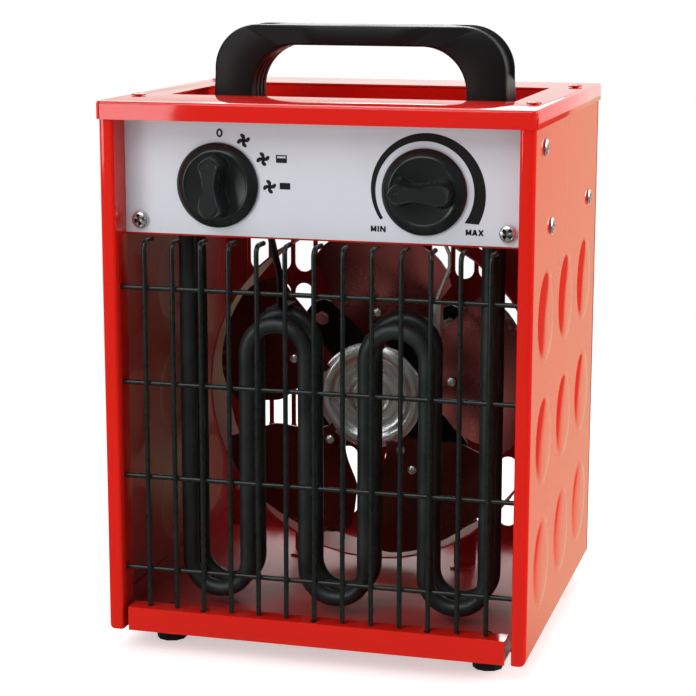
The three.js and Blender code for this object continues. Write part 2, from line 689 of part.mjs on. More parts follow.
/** The control panel behind the front posts, with a hole for each knob's shaft. */
function controlPanel() {
  const outline = roundedRect(-TRAY_HALF_W, TRAY_HALF_W, PANEL_BOTTOM, PANEL_TOP, SHEET);
  const sheet = plateXZ(outline, PANEL_SETBACK, PANEL_BACK, 1);
  const cuts = [];
  [-1, 1].forEach((side) => {
    const shaftHole = bore(KNOB_SHAFT_R, -SHEET, 2 * SHEET);
    cuts.push(place(shaftHole, [side * KNOB_X, PANEL_SETBACK, KNOB_Z], FACING.back));
    cuts.push(screwHole([side * SCREW_PANEL_X, PANEL_SETBACK, SCREW_PANEL_Z], 'front'));
  });
  return subtractAll(sheet, cuts);
}

/** The partition under the controls, which the heating elements hang from. */
function partition() {
  const shelf = box(-TRAY_HALF_W, TRAY_HALF_W, SHELF_FRONT, TRAY_BACK, SHELF_Z, SHELF_TOP);
  const rise = SHELF_Z + TRAY_WALL;
  const front = box(-TRAY_HALF_W, TRAY_HALF_W, SHELF_FRONT, SHELF_FRONT + SHEET, SHELF_Z, rise);
  const left = box(-TRAY_HALF_W, -TRAY_HALF_W + SHEET, SHELF_FRONT, TRAY_BACK, SHELF_Z, rise);
  const right = box(TRAY_HALF_W - SHEET, TRAY_HALF_W, SHELF_FRONT, TRAY_BACK, SHELF_Z, rise);
  const cuts = [];
  [-1, 1].forEach((side) => {
    [ELEMENT_FRONT, ELEMENT_REAR].forEach((y) => {
      cuts.push(place(bore(ELEMENT_R, SHELF_Z - SHEET, SHELF_TOP + SHEET), [side * ELEMENT_LEG_X, y, 0]));
    });
    cuts.push(screwHole([side * SCREW_PANEL_X, SHELF_FRONT, SCREW_PANEL_Z], 'front'));
    SCREW_SIDE.slice(1).forEach(([y, z]) => cuts.push(screwHole([side * TRAY_HALF_W, y, z], 'right')));
  });
  cuts.push(place(bore(CAPILLARY_R, SHELF_Z - SHEET, SHELF_TOP + SHEET), [BULB_X, BULB_Y, 0]));
  return subtractAll(union([shelf, front, left, right]), cuts);
}

const wireX = (i) => (i - (WIRE_COUNT - 1) / 2) * WIRE_PITCH;

/** The wire grille: uprights hooked back under the control panel, welded to cross wires. */
function grille() {
  const wires = [];
  for (let i = 0; i < WIRE_COUNT; i += 1) {
    const x = wireX(i);
    const low = SLOTTED_WIRES.includes(i) ? FLOOR_TOP + 2 * WIRE_R : LIP_HEIGHT + SEAT;
    const stations = [new THREE.Vector3(x, WIRE_PLANE, low)];
    for (let k = 0; k <= WIRE_BEND_STEPS; k += 1) {
      const angle = k / WIRE_BEND_STEPS * Math.PI / 2;
      stations.push(new THREE.Vector3(
        x,
        WIRE_PLANE + WIRE_BEND_R * (1 - Math.cos(angle)),
        WIRE_TOP - WIRE_BEND_R * (1 - Math.sin(angle))));
    }
    stations.push(new THREE.Vector3(x, WIRE_PLANE + WIRE_HOOK, WIRE_TOP));
    wires.push(bar(stations, WIRE_R, 6));
  }
  const reach = SIDE_X - POST_W / 2;
  for (let row = 0; row < CROSS_WIRE_COUNT; row += 1) {
    const z = CROSS_WIRE_FIRST + row * CROSS_WIRE_PITCH;
    const ends = [new THREE.Vector3(-reach, CROSS_PLANE, z), new THREE.Vector3(reach, CROSS_PLANE, z)];
    wires.push(bar(ends, WIRE_R, 6));
  }
  return union(wires);
}

/** One heating element: a tube bent into an M, with a collar where each end meets the partition. */
function heatingElement(y, arch) {
  const r = ELEMENT_PITCH / 2;
  const low = ELEMENT_LOW + r;
  const high = arch - r;
  const top = SHELF_TOP + SEAT + COLLAR_H + ELEMENT_STUB;
  const stations = [new THREE.Vector3(-ELEMENT_LEG_X, y, top)];
  for (let bend = 0; bend < 5; bend += 1) {
    const x = -ELEMENT_LEG_X + (bend + 0.5) * ELEMENT_PITCH;
    if (bend % 2 === 0) stations.push(...arcXZ(x, y, low, r, 180, 360, ELEMENT_BEND_STEPS));
    else stations.push(...arcXZ(x, y, high, r, 180, 0, ELEMENT_BEND_STEPS));
  }
  stations.push(new THREE.Vector3(ELEMENT_LEG_X, y, top));
  const collar = rod(COLLAR_R, SHELF_TOP + SEAT, SHELF_TOP + SEAT + COLLAR_H, 6);
  const pin = rod(PIN_R, top - PIN_L, top + PIN_L, 6);
  const ends = [-1, 1].flatMap((side) => [collar, pin].map(
    (piece) => place(piece, [side * ELEMENT_LEG_X, y, 0])));
  return union([bar(stations, ELEMENT_R, 8), ...ends]);
}

/** The bent strap from the partition down to the saddle over the left arches. */
function elementHanger() {
  const archTop = ELEMENT_ARCH + ELEMENT_REAR_RISE + ELEMENT_R + SEAT;
  const archX = -ELEMENT_PITCH;
  const top = SHELF_Z - SEAT;
  const section = foldedSection([
    [HANGER_X - HANGER_W, top],
    [HANGER_X, top],
    [archX, archTop + 2 * HANGER_W],
    [archX, archTop],
  ].reverse(), SHEET, HANGER_FOLD_R);
  const strap = plateXZ(section, HANGER_Y - HANGER_W / 2, HANGER_Y + HANGER_W / 2, 2);
  const saddle = box(archX - HANGER_W / 2, archX + HANGER_W / 2,
    ELEMENT_FRONT - ELEMENT_R, ELEMENT_REAR + ELEMENT_R, archTop, archTop + SHEET);
  return strap.add(saddle);
}

/** The ring round the fan, on two feet that stand on the floor. */
function fanRing() {
  const back = RING_FRONT + RING_DEPTH;
  const outer = place(rod(RING_R + SHEET, 0, RING_DEPTH, 40), [0, back, FAN_Z], FACING.front);
  const inner = place(rod(RING_R, -SHEET, RING_DEPTH + SHEET, 40), [0, back, FAN_Z], FACING.front);
  const feet = [-1, 1].map((side) => {
    const x = side * RING_R / 2;
    const [x0, x1] = [x - RING_FOOT_W / 2, x + RING_FOOT_W / 2];
    const low = FLOOR_TOP + SEAT;
    const leg = box(x0, x1, back - SHEET, back, low, FAN_Z - Math.sqrt(RING_R ** 2 - x ** 2));
    const sole = box(x0, x1, back - RING_FOOT_L, back, low, low + SHEET);
    return leg.add(sole);
  });
  return union([outer, ...feet]).subtract(inner);
}

/** One fan blade, a twisted and dished sheet from the hub to the tip, about the +Y axis. */
function fanBlade(angle) {
  const rows = 4;
  const columns = 5;
  const face = (u, v, offset) => {
    const r = THREE.MathUtils.lerp(FAN_HUB_R - 4, FAN_R, u);
    const share = THREE.MathUtils.smoothstep(u, 0, 0.5) * (1 - FAN_ROOT_SHARE) + FAN_ROOT_SHARE;
    const turn = THREE.MathUtils.degToRad(angle + (v - 0.5) * FAN_BLADE_SPAN * share);
    const corner = Math.abs(2 * v - 1) ** 4;
    const reach = r - 9 * corner * u ** 4;
    const pitch = FAN_PITCH * THREE.MathUtils.lerp(0.1, 1, Math.min(1, 1.4 * u));
    const y = FAN_HUB_Y + (v - 0.5) * pitch + 3 * Math.sin(Math.PI * v) * u + offset;
    return new THREE.Vector3(reach * Math.cos(turn), y, reach * Math.sin(turn));
  };
  const rings = [];
  for (let i = 0; i <= rows; i += 1) {
    const ring = [];
    for (let k = 0; k <= columns; k += 1) ring.push(face(i / rows, k / columns, -FAN_SHEET / 2));
    for (let k = columns; k >= 0; k -= 1) ring.push(face(i / rows, k / columns, FAN_SHEET / 2));
    rings.push(ring);
  }
  return loftStrip(rings, columns);
}

/** A closed solid through thin rings, whose ends are closed between the ring's two long sides. */
function loftStrip(rings, columns) {
  const points = [];
  const index = [];
  const count = rings[0].length;
  rings.forEach((ring) => ring.forEach((p) => points.push(p.x, p.y, p.z)));
  for (let k = 0; k < rings.length - 1; k += 1) {
    for (let i = 0; i < count; i += 1) {
      const a = k * count + i;
      const b = k * count + (i + 1) % count;
      index.push(a, b, b + count, a, b + count, a + count);
    }
  }
  [0, rings.length - 1].forEach((k) => {
    for (let i = 0; i < columns; i += 1) {
      const [a, b] = [k * count + i, k * count + i + 1];
      const [c, d] = [k * count + count - 2 - i, k * count + count - 1 - i];
      if (k === 0) index.push(a, c, b, a, d, c);
      else index.push(a, b, c, a, c, d);
    }
  });
  const geometry = new THREE.BufferGeometry();
  geometry.setAttribute('position', new THREE.Float32BufferAttribute(points, 3));
  geometry.setIndex(index);
  return solid(geometry);
}

/** The stamped fan with its dished hub and the shaft that it is pressed on. */
function fan() {
  const hub = revolve([
    [0, -3], [9, -3], [11, 0], [FAN_HUB_R - 8, 0], [FAN_HUB_R - 5, -2.4], [FAN_HUB_R, -1.2],
    [FAN_HUB_R, 1.2], [8, 2.4], [8, 12], [0, 12],
  ], 20);
  const turned = place(hub, [0, FAN_HUB_Y, FAN_Z], FACING.back);
  const blades = [];
  for (let i = 0; i < FAN_BLADES; i += 1) {
    blades.push(place(fanBlade(FAN_BLADE_ANGLE + i * 360 / FAN_BLADES), [0, 0, FAN_Z]));
  }
  const shaftEnd = MOTOR_PLATE_Y + MOTOR_PLATE_T + SEAT + MOTOR_DEPTH / 2;
  const shaft = place(rod(SHAFT_R, 0, shaftEnd - FAN_HUB_Y, 10), [0, FAN_HUB_Y, FAN_Z], FACING.back);
  return union([turned, ...blades, shaft]);
}

function motorBolts() {
  return [[-1, -1], [1, -1], [-1, 1], [1, 1]].map(([i, k]) => [i * MOTOR_BOLT_X, FAN_Z + k * MOTOR_BOLT_Z]);
}

/** The motor's front plate, with a lobe for each bolt. */
function motorPlate() {
  const y1 = MOTOR_PLATE_Y + MOTOR_PLATE_T;
  const disc = place(rod(MOTOR_R + 2, 0, MOTOR_PLATE_T, 16), [0, MOTOR_PLATE_Y, FAN_Z], FACING.back);
  const lobes = motorBolts().map(([x, z]) => {
    const across = new THREE.Vector2(-(z - FAN_Z), x).setLength(MOTOR_LOBE_R);
    const arm = new THREE.Shape();
    arm.moveTo(x + across.x, z + across.y);
    arm.lineTo(across.x * 1.6, FAN_Z + across.y * 1.6);
    arm.lineTo(-across.x * 1.6, FAN_Z - across.y * 1.6);
    arm.lineTo(x - across.x, z - across.y);
    const round = place(rod(MOTOR_LOBE_R, 0, MOTOR_PLATE_T, 10), [x, MOTOR_PLATE_Y, z], FACING.back);
    return plateXZ(arm, MOTOR_PLATE_Y, y1).add(round);
  });
  const holes = motorBolts().map(([x, z]) =>
    place(bore(STUD_R, -SHEET, MOTOR_PLATE_T + SHEET), [x, MOTOR_PLATE_Y, z], FACING.back));
  const opening = rod(SHAFT_R * 2, -SHEET, MOTOR_PLATE_T + SHEET, 12);
  const eye = place(opening, [0, MOTOR_PLATE_Y, FAN_Z], FACING.back);
  return subtractAll(union([disc, ...lobes]), [...holes, eye]);
}

/** The motor's can, with a blind bore that clears the shaft. */
function motorBody() {
  const front = MOTOR_PLATE_Y + MOTOR_PLATE_T + SEAT;
  const can = revolve([
    [0, 0], [MOTOR_R, 0], [MOTOR_R, MOTOR_DEPTH - 4], [MOTOR_R - 4, MOTOR_DEPTH - 1],
    [12, MOTOR_DEPTH - 1], [10, MOTOR_DEPTH + 4], [0, MOTOR_DEPTH + 4],
  ], 16);
  const well = rod(SHAFT_R + HOLE_CLEARANCE, -SHEET, MOTOR_DEPTH / 2 + 1, 12);
  return place(can.subtract(well), [0, front, FAN_Z], FACING.back);
}

/** A bolt from the rear panel, with the spacer that holds the motor's plate off the panel. */
function motorStud() {
  const plateBack = MOTOR_PLATE_Y + MOTOR_PLATE_T + SEAT;
  const length = REAR_OUT - MOTOR_PLATE_Y + SEAT + NUT_H + 1.5;
  const head = revolve([
    [0, -length], [STUD_R, -length], [STUD_R, SEAT], [SCREW_R, SEAT], [SCREW_R * 0.8, SEAT + SCREW_HEAD],
    [0, SEAT + SCREW_HEAD],
  ], 8);
  const spacer = rod(SPACER_R, plateBack - REAR_OUT, REAR_IN - SEAT - REAR_OUT, 8);
  return head.add(spacer);
}

/** A hexagonal nut round a bolt. */
function nut() {
  return rod(NUT_R, 0, NUT_H, 6).subtract(rod(STUD_R + SEAT, -1, NUT_H + 1, 8));
}

/** The bail handle: a thick arch with bevelled edges whose legs stand in the recess. */
function handle() {
  const top = COVER_TOP + HANDLE_RISE;
  const under = top - HANDLE_GRIP;
  const foot = RECESS_FLOOR + SEAT;
  const e = HANDLE_EDGE_R;
  const [outer, inner] = [HANDLE_HALF_W - e, HANDLE_INNER_HALF_W + e];
  const [outerR, innerR] = [HANDLE_OUTER_R - e, HANDLE_INNER_R + e];
  const shape = new THREE.Shape();
  shape.moveTo(outer, foot - e);
  shape.lineTo(outer, top - e - outerR);
  shape.absarc(outer - outerR, top - e - outerR, outerR, 0, Math.PI / 2, false);
  shape.lineTo(-outer + outerR, top - e);
  shape.absarc(-outer + outerR, top - e - outerR, outerR, Math.PI / 2, Math.PI, false);
  shape.lineTo(-outer, foot - e);
  shape.lineTo(-inner, foot - e);
  shape.lineTo(-inner, under + e - innerR);
  shape.absarc(-inner + innerR, under + e - innerR, innerR, Math.PI, Math.PI / 2, true);
  shape.lineTo(inner - innerR, under + e);
  shape.absarc(inner - innerR, under + e - innerR, innerR, Math.PI / 2, 0, true);
  shape.lineTo(inner, foot - e);
  const bow = new THREE.ExtrudeGeometry(shape, {
    depth: HANDLE_DEPTH - 2 * e,
    bevelThickness: e,
    bevelSize: e,
    bevelSegments: 2,
    curveSegments: 3,
  });
  bow.rotateX(Math.PI / 2);
  bow.translate(0, HANDLE_Y + HANDLE_DEPTH / 2 - e, 0);
  const below = box(-COVER_W, COVER_W, 0, COVER_D, 0, foot);
  const pilots = [-1, 1].map((side) => place(
    rod(SCREW_SHANK_R + HOLE_CLEARANCE, -1, HANDLE_SCREW, 8), [side * SCREW_HANDLE_X, HANDLE_Y, foot]));
  return subtractAll(solid(bow), [below, ...pilots]);
}

/** A control knob about +Z: a bevelled skirt and a waisted grip that tapers to its top. */
function knob() {
  const skirt = revolve([
    [0, SEAT], [KNOB_R, SEAT], [KNOB_R, KNOB_RIM], [KNOB_FACE_R, KNOB_FACE], [0, KNOB_FACE],
  ], 20);
  const outline = (inset, height) => {
    const ring = [];
    const halfLength = GRIP_LENGTH / 2 - 1.6 * inset;
    const halfWidth = (s) => (GRIP_WAIST + (GRIP_END - GRIP_WAIST) * s ** 2) / 2 - inset;
    const steps = 6;
    for (let i = 0; i <= steps; i += 1) {
      const s = 2 * i / steps - 1;
      ring.push(new THREE.Vector3(halfWidth(s), s * (halfLength - 1), height));
    }
    ring.push(new THREE.Vector3(halfWidth(1) / 2, halfLength, height));
    ring.push(new THREE.Vector3(-halfWidth(1) / 2, halfLength, height));
    for (let i = steps; i >= 0; i -= 1) {
      const s = 2 * i / steps - 1;
      ring.push(new THREE.Vector3(-halfWidth(s), s * (halfLength - 1), height));
    }
    ring.push(new THREE.Vector3(-halfWidth(1) / 2, -halfLength, height));
    ring.push(new THREE.Vector3(halfWidth(1) / 2, -halfLength, height));
    return ring;
  };
  const grip = loft([
    outline(0, KNOB_FACE - 1),
    outline(GRIP_DRAFT, KNOB_HEIGHT - 1),
    outline(GRIP_DRAFT + GRIP_EDGE, KNOB_HEIGHT),
  ]);
  const shaft = rod(KNOB_SHAFT_R, -KNOB_SHAFT_IN, SEAT + 1, 16);
  return union([skirt, grip, shaft]);
}

/** The body of a rotary control behind the panel, with a blind bore for the knob's shaft. */
function controlBody(halfW, depth) {
  const outline = roundedRect(-halfW, halfW, -CONTROL_HALF_H, CONTROL_HALF_H, CONTROL_CORNER_R);
  const block = plateXZ(outline, 0, depth, 1);
  const well = rod(KNOB_SHAFT_R + HOLE_CLEARANCE, -KNOB_SHAFT_IN, SHEET, 12);
  return block.subtract(place(well, [0, 0, 0], FACING.front));
}

/** The thermostat's sensing bulb on its capillary, hung through the partition. */
function sensorBulb() {
  const low = SHELF_Z - BULB_DROP;
  const away = [
    [0, SHELF_TOP + CAPILLARY_RISE],
    [0, SHELF_Z - 2 * BULB_R],
    [CAPILLARY_SWAY, SHELF_Z - BULB_DROP / 3],
    [CAPILLARY_SWAY, SHELF_Z - BULB_DROP / 2],
    [-CAPILLARY_SWAY, low + BULB_R],
    [-CAPILLARY_SWAY, low - SHEET],
  ];
  const stations = away.map(([x, z]) => new THREE.Vector3(BULB_X + x, BULB_Y, z));
  const bulb = place(rod(BULB_R, low - BULB_L, low, 8), [BULB_X - CAPILLARY_SWAY, BULB_Y, 0]);
  const nippleTop = SHELF_TOP + CAPILLARY_RISE / 2;
  const nipple = place(rod(BULB_R, SHELF_TOP + SEAT, nippleTop, 8), [BULB_X, BULB_Y, 0]);
  return union([bar(stations, CAPILLARY_R, 6), bulb, nipple]);
}

/** The thermal cut-out, a disc switch under the partition. */
function thermalCutout() {
  const step = CUTOUT_H * 2 / 3;
  const body = revolve([
    [0, 0], [CUTOUT_R, 0], [CUTOUT_R, step], [CUTOUT_R * 0.75, CUTOUT_H], [0, CUTOUT_H],
  ], 16);
  return place(body, [CUTOUT_X, CUTOUT_Y, SHELF_Z - SEAT], FACING.down);
}

/** The terminal block on the partition, behind the handle recess. */
function terminalBlock() {
  const z = SHELF_TOP + SEAT;
  const y = REAR_IN - TERMINAL_TO_REAR;
  const [y0, y1] = [y - TERMINAL_HALF_D, y + TERMINAL_HALF_D];
  const [x0, x1] = [TERMINAL_X - TERMINAL_HALF_W, TERMINAL_X + TERMINAL_HALF_W];
  const ribs = [];
  for (let i = 0; i < TERMINAL_RIBS; i += 1) {
    const x = THREE.MathUtils.lerp(x0, x1 - TERMINAL_RIB, i / (TERMINAL_RIBS - 1));
    ribs.push(box(x, x + TERMINAL_RIB, y0, y1, z, z + TERMINAL_H));
  }
  return union([box(x0, x1, y0, y1, z, z + TERMINAL_BASE), ...ribs]);
}

/** The cable inlet's bush in the rear panel, with its bore through. */
function cableInlet() {
  const bush = revolve([
    [0, -GLAND_IN], [GLAND_R, -GLAND_IN], [GLAND_R, SEAT], [GLAND_FLANGE_R, SEAT],
    [GLAND_FLANGE_R, GLAND_OUT / 2], [GLAND_FLANGE_R - 2, GLAND_OUT], [0, GLAND_OUT],
  ], 12);
  return bush.subtract(rod(GLAND_BORE_R, -GLAND_IN - 1, GLAND_OUT + 1, 12));
}

/** A rubber foot, pushed through the floor by its stem. */
function foot() {
  const top = FLOOR_Z - SEAT;
  const barb = FLOOR_TOP + SEAT;
  return revolve([
    [0, -FOOT_H], [FOOT_TIP_R, -FOOT_H], [FOOT_R, top - 2], [FOOT_R, top], [FOOT_STEM_R, top],
    [FOOT_STEM_R, barb], [FOOT_STEM_R * 1.5, barb], [FOOT_STEM_R / 2, barb + FOOT_STEM_L],
    [0, barb + FOOT_STEM_L],
  ], 10);
}

/** A pan-head screw about +Z with its seat at z = 0. */
function screw(head = SCREW_HEAD, shank = SCREW_SHANK) {
  return revolve([
    [0, -shank], [SCREW_SHANK_R, -shank], [SCREW_SHANK_R, SEAT], [SCREW_R, SEAT],
    [SCREW_R * 0.8, SEAT + head], [0, SEAT + head],
  ], 8);
}

// ---------------------------------------------------------------- assembly

add('top_cover', topCover(), RED);
add('recess_tray', recessTray(), RED);
add('side_panel_right', sidePanel(), RED);
add('side_panel_left', mirrorX(sidePanel()), RED);
add('base_tray', baseTray(), RED);
add('rear_panel', rearPanel(), RED);
add('control_panel', controlPanel(), SILVER);
add('partition', partition(), RED);
add('grille', grille(), WIRE);
add('element_front', heatingElement(ELEMENT_FRONT, ELEMENT_ARCH), ELEMENT);
add('element_rear', heatingElement(ELEMENT_REAR, ELEMENT_ARCH + ELEMENT_REAR_RISE), ELEMENT);
add('element_hanger', elementHanger(), DARK_STEEL);
add('fan_ring', fanRing(), RED);
add('fan', fan(), ALUMINIUM);
add('motor_plate', motorPlate(), DARK_STEEL);
add('motor_body', motorBody(), STEEL);
motorBolts().forEach(([x, z], i) => {
  add(`motor_stud_${i + 1}`, motorStud(), STEEL, [x, REAR_OUT, z], FACING.back);
  add(`motor_nut_${i + 1}`, nut(), STEEL, [x, MOTOR_PLATE_Y - SEAT, z], FACING.front);
});
add('handle', handle(), BLACK);
const CONTROL_Y = PANEL_BACK + SEAT;
add('switch_body', controlBody(SWITCH_HALF_W, SWITCH_DEPTH), PLASTIC, [-KNOB_X, CONTROL_Y, KNOB_Z]);
add('thermostat_body', controlBody(THERMOSTAT_HALF_W, THERMOSTAT_DEPTH), PLASTIC,
  [KNOB_X, CONTROL_Y, KNOB_Z]);
add('switch_knob', knob(), KNOB_BLACK, [-KNOB_X, PANEL_SETBACK, KNOB_Z], FACING.front);
add('thermostat_knob', place(knob(), [0, 0, 0], [0, 0, -THREE.MathUtils.degToRad(THERMOSTAT_REST)]),
  KNOB_BLACK, [KNOB_X, PANEL_SETBACK, KNOB_Z], FACING.front);
add('sensor_bulb', sensorBulb(), ALUMINIUM);
add('thermal_cutout', thermalCutout(), BLACK);
add('terminal_block', terminalBlock(), PLASTIC);
add('cable_inlet', cableInlet(), BLACK, [GLAND_X, REAR_OUT, GLAND_Z], FACING.back);
['left', 'right'].forEach((name, i) => {
  const side = 2 * i - 1;
  FEET_Y.forEach((y, k) => {
    add(`foot_${name}_${k + 1}`, foot(), RUBBER, [side * FOOT_X, y, 0]);
  });
  SCREW_TOP_Y.forEach((y, k) => {
    add(`screw_top_${name}_${k + 1}`, screw(SCREW_LOW_HEAD), RED, [side * SCREW_TOP_X, y, COVER_TOP]);
  });
  SCREW_SIDE.forEach(([y, z], k) => {
    add(`screw_side_${name}_${k + 1}`, screw(SCREW_LOW_HEAD), STEEL, [side * SIDE_X, y, z], FACING[name]);
  });
  SCREW_REAR_Z.forEach((z, k) => {
    add(`screw_rear_${name}_${k + 1}`, screw(), STEEL, [side * SCREW_REAR_X, REAR_OUT, z], FACING.back);
  });
  add(`screw_panel_${name}`, screw(), STEEL,
    [side * SCREW_PANEL_X, PANEL_SETBACK, SCREW_PANEL_Z], FACING.front);
  add(`screw_handle_${name}`, screw(SCREW_HEAD, HANDLE_SCREW), STEEL,
    [side * SCREW_HANDLE_X, HANDLE_Y, RECESS_FLOOR - SHEET], FACING.down);
});

export default heater;
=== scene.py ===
"""Looks of the forced air heater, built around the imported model's bodies. Units are metres.

Distances below are written in millimetres in the case's own axes: x to the right, y back from the
front plane, z up from the lower edge of the side panels. at() turns them into the row frame.
"""

import math

import bmesh
import bpy
from mathutils import Matrix, Vector


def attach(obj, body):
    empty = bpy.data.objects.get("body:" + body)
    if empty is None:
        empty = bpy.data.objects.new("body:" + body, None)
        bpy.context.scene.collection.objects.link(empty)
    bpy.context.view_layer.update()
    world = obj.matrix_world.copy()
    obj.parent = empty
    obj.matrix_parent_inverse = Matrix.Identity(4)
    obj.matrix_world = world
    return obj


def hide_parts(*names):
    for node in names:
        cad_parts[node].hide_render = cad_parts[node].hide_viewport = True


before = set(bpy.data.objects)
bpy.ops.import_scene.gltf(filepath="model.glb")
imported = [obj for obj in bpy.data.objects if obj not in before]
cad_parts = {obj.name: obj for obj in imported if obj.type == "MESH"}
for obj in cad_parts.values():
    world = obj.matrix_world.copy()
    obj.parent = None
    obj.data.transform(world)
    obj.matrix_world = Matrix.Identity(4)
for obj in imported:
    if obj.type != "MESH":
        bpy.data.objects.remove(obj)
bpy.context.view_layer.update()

MM = 0.001
CASE_BACK = 98.85  # the case's front plane lies this far in front of the row frame's origin
FEET = 11.0  # the case's lower edge stands this high above the floor

CASE = {"half": 104.7, "top": 259.7, "corner": 3.0}
PANEL_Y = 16.5
KNOB_X = 50.46
KNOB_Z = 221.0


def at(x, y, z):
    """A point of the case, in millimetres, as a point of the row frame in metres."""
    return Vector((x, y - CASE_BACK, z + FEET)) * MM


def add_object(name, data):
    obj = bpy.data.objects.new(name, data)
    bpy.context.scene.collection.objects.link(obj)
    return obj


def clamp(value, low=0.0, high=1.0):
    return max(low, min(high, value))


def ease(t):
    t = clamp(t)
    return t * t * (3 - 2 * t)


# ------------------------------------------------------------------ shader nodes

class Graph:
    """Short forms for building the shader nodes of a world or a material."""

    def __init__(self, owner):
        owner.use_nodes = True
        self.nodes = owner.node_tree.nodes
        self.links = owner.node_tree.links
        self.nodes.clear()

    def fill(self, socket, value):
        """Links another node's output to a socket, or sets the socket to a plain value."""
        if isinstance(value, bpy.types.NodeSocket):
            self.links.new(value, socket)
        else:
            socket.default_value = value

    def add(self, kind, inputs=None, operation=None):
        node = self.nodes.new(f"ShaderNode{kind}")
        if operation:
            node.operation = operation
        for key, value in (inputs or {}).items():
            self.fill(node.inputs[key], value)
        return node

    def math(self, operation, *values):
        return self.add("Math", dict(enumerate(values)), operation).outputs[0]

    def ramp(self, value, low, high, to_low=0.0, to_high=1.0, kind="LINEAR"):
        node = self.add("MapRange", {"Value": value, "From Min": low, "From Max": high, "To Min": to_low,
                                     "To Max": to_high})
        node.interpolation_type = kind
        return node.outputs["Result"]

    def axes(self, vector):
        return self.add("SeparateXYZ", {0: vector}).outputs

    def blend(self, factor, a, b):
        """Mixes two shaders."""
        return self.add("MixShader", {0: factor, 1: a, 2: b}).outputs[0]


# ------------------------------------------------------------------ camera, lights and floor

CAMERA = {"place": (0.26279, -0.98934, 0.34443), "turn": (1.3735, -0.0015, 0.2682), "lens": 104.48,
          "sensor": 36.0}

WHITE = (1.0, 1.0, 1.0)

# place, aim, width and height in metres, watts and colour
LAMPS = {
    "key": ((-0.7, -1.8, 1.8), (0, 0, 0.15), (1.8, 1.5), 31, WHITE),
    "low": ((-1.0, -1.35, 0.32), (0, 0, 0.12), (0.5, 0.5), 4.5, WHITE),
    "fill": ((2.0, 0.2, 0.9), (0, 0, 0.1), (1.2, 1.2), 37, (1.0, 0.97, 0.93)),
    "top": ((0.1, 0.4, 2.0), (0, 0, 0.15), (1.4, 1.4), 14, WHITE),
    "rear": ((-0.7, 2.0, 1.4), (0, 0, 0.15), (1.2, 1.2), 24, WHITE),
}

AMBIENT = 0.24
AMBIENT_COLOUR = (0.93, 0.96, 1.0, 1.0)
ROOM = 0.16  # how bright the room in front of the heater looks in reflections, where the backdrop is 1
HORIZON = (-0.45, 0.25)  # directions along y between which the room turns into the backdrop
BACKDROP_COLOUR = (1.0, 1.0, 0.95, 1.0)
BACKDROP_LIFT = 1.06  # brings the backdrop's colour to white for the camera

FLOOR_HALF = 4.0
FLOOR_COLOUR = (0.86, 0.85, 0.83, 1.0)
FLOOR_LIFT = 0.5  # a glow for the camera alone, so that the paper looks nearly white round the shadow
FLOOR_WHITE = (0.2, 0.75)  # distances over which the paper turns into plain white
MIRRORED_COLOUR = (0.94, 0.94, 0.62, 1.0)
MIRRORED_FLOOR = 0.7  # how bright the floor behind the heater looks in reflections
MIRRORED_BACK = (-0.2, 0.06)  # places along y over which the floor in front turns into that behind
MIRRORED_ASIDE = 0.15  # the share of that brightness which is left to the right of the heater
MIRRORED_RIGHT = (0.14, 0.26)  # places along x over which it fades
MIRRORED_SLANT = 0.16  # how far those places shift to the right for each metre back


def make_camera():
    data = bpy.data.cameras.new("camera")
    data.lens = CAMERA["lens"]
    data.sensor_width = CAMERA["sensor"]
    camera = add_object("camera", data)
    camera.location = CAMERA["place"]
    camera.rotation_euler = CAMERA["turn"]
    bpy.context.scene.camera = camera


def make_lamps():
    for name, (place, aim, size, power, colour) in LAMPS.items():
        data = bpy.data.lights.new(name, "AREA")
        data.shape = "RECTANGLE"
        data.size, data.size_y = size
        data.energy = power
        data.color = colour
        lamp = add_object(name, data)
        lamp.location = place
        lamp.rotation_euler = (Vector(aim) - Vector(place)).to_track_quat("-Z", "Y").to_euler()


def make_world():
    """Soft light for the surfaces, and a white backdrop with a darker room in front of it to be seen."""
    world = bpy.data.worlds.new("world")
    graph = Graph(world)
    ray = graph.add("LightPath").outputs
    seen = ray["Is Camera Ray"]
    for kind in ("Is Glossy Ray", "Is Transmission Ray"):
        seen = graph.math("MAXIMUM", seen, ray[kind])
    direction = graph.axes(graph.add("TexCoord").outputs["Generated"])
    room = graph.ramp(direction["Y"], *HORIZON, ROOM, 1.0, "SMOOTHSTEP")
    backdrop = graph.math("MULTIPLY", ray["Is Camera Ray"], BACKDROP_LIFT)
    lit = graph.add("Background", {"Color": AMBIENT_COLOUR, "Strength": AMBIENT})
    shown = graph.add("Background", {"Color": BACKDROP_COLOUR,
                                     "Strength": graph.math("MAXIMUM", room, backdrop)})
    graph.add("OutputWorld", {"Surface": graph.blend(seen, lit.outputs[0], shown.outputs[0])})
    bpy.context.scene.world = world


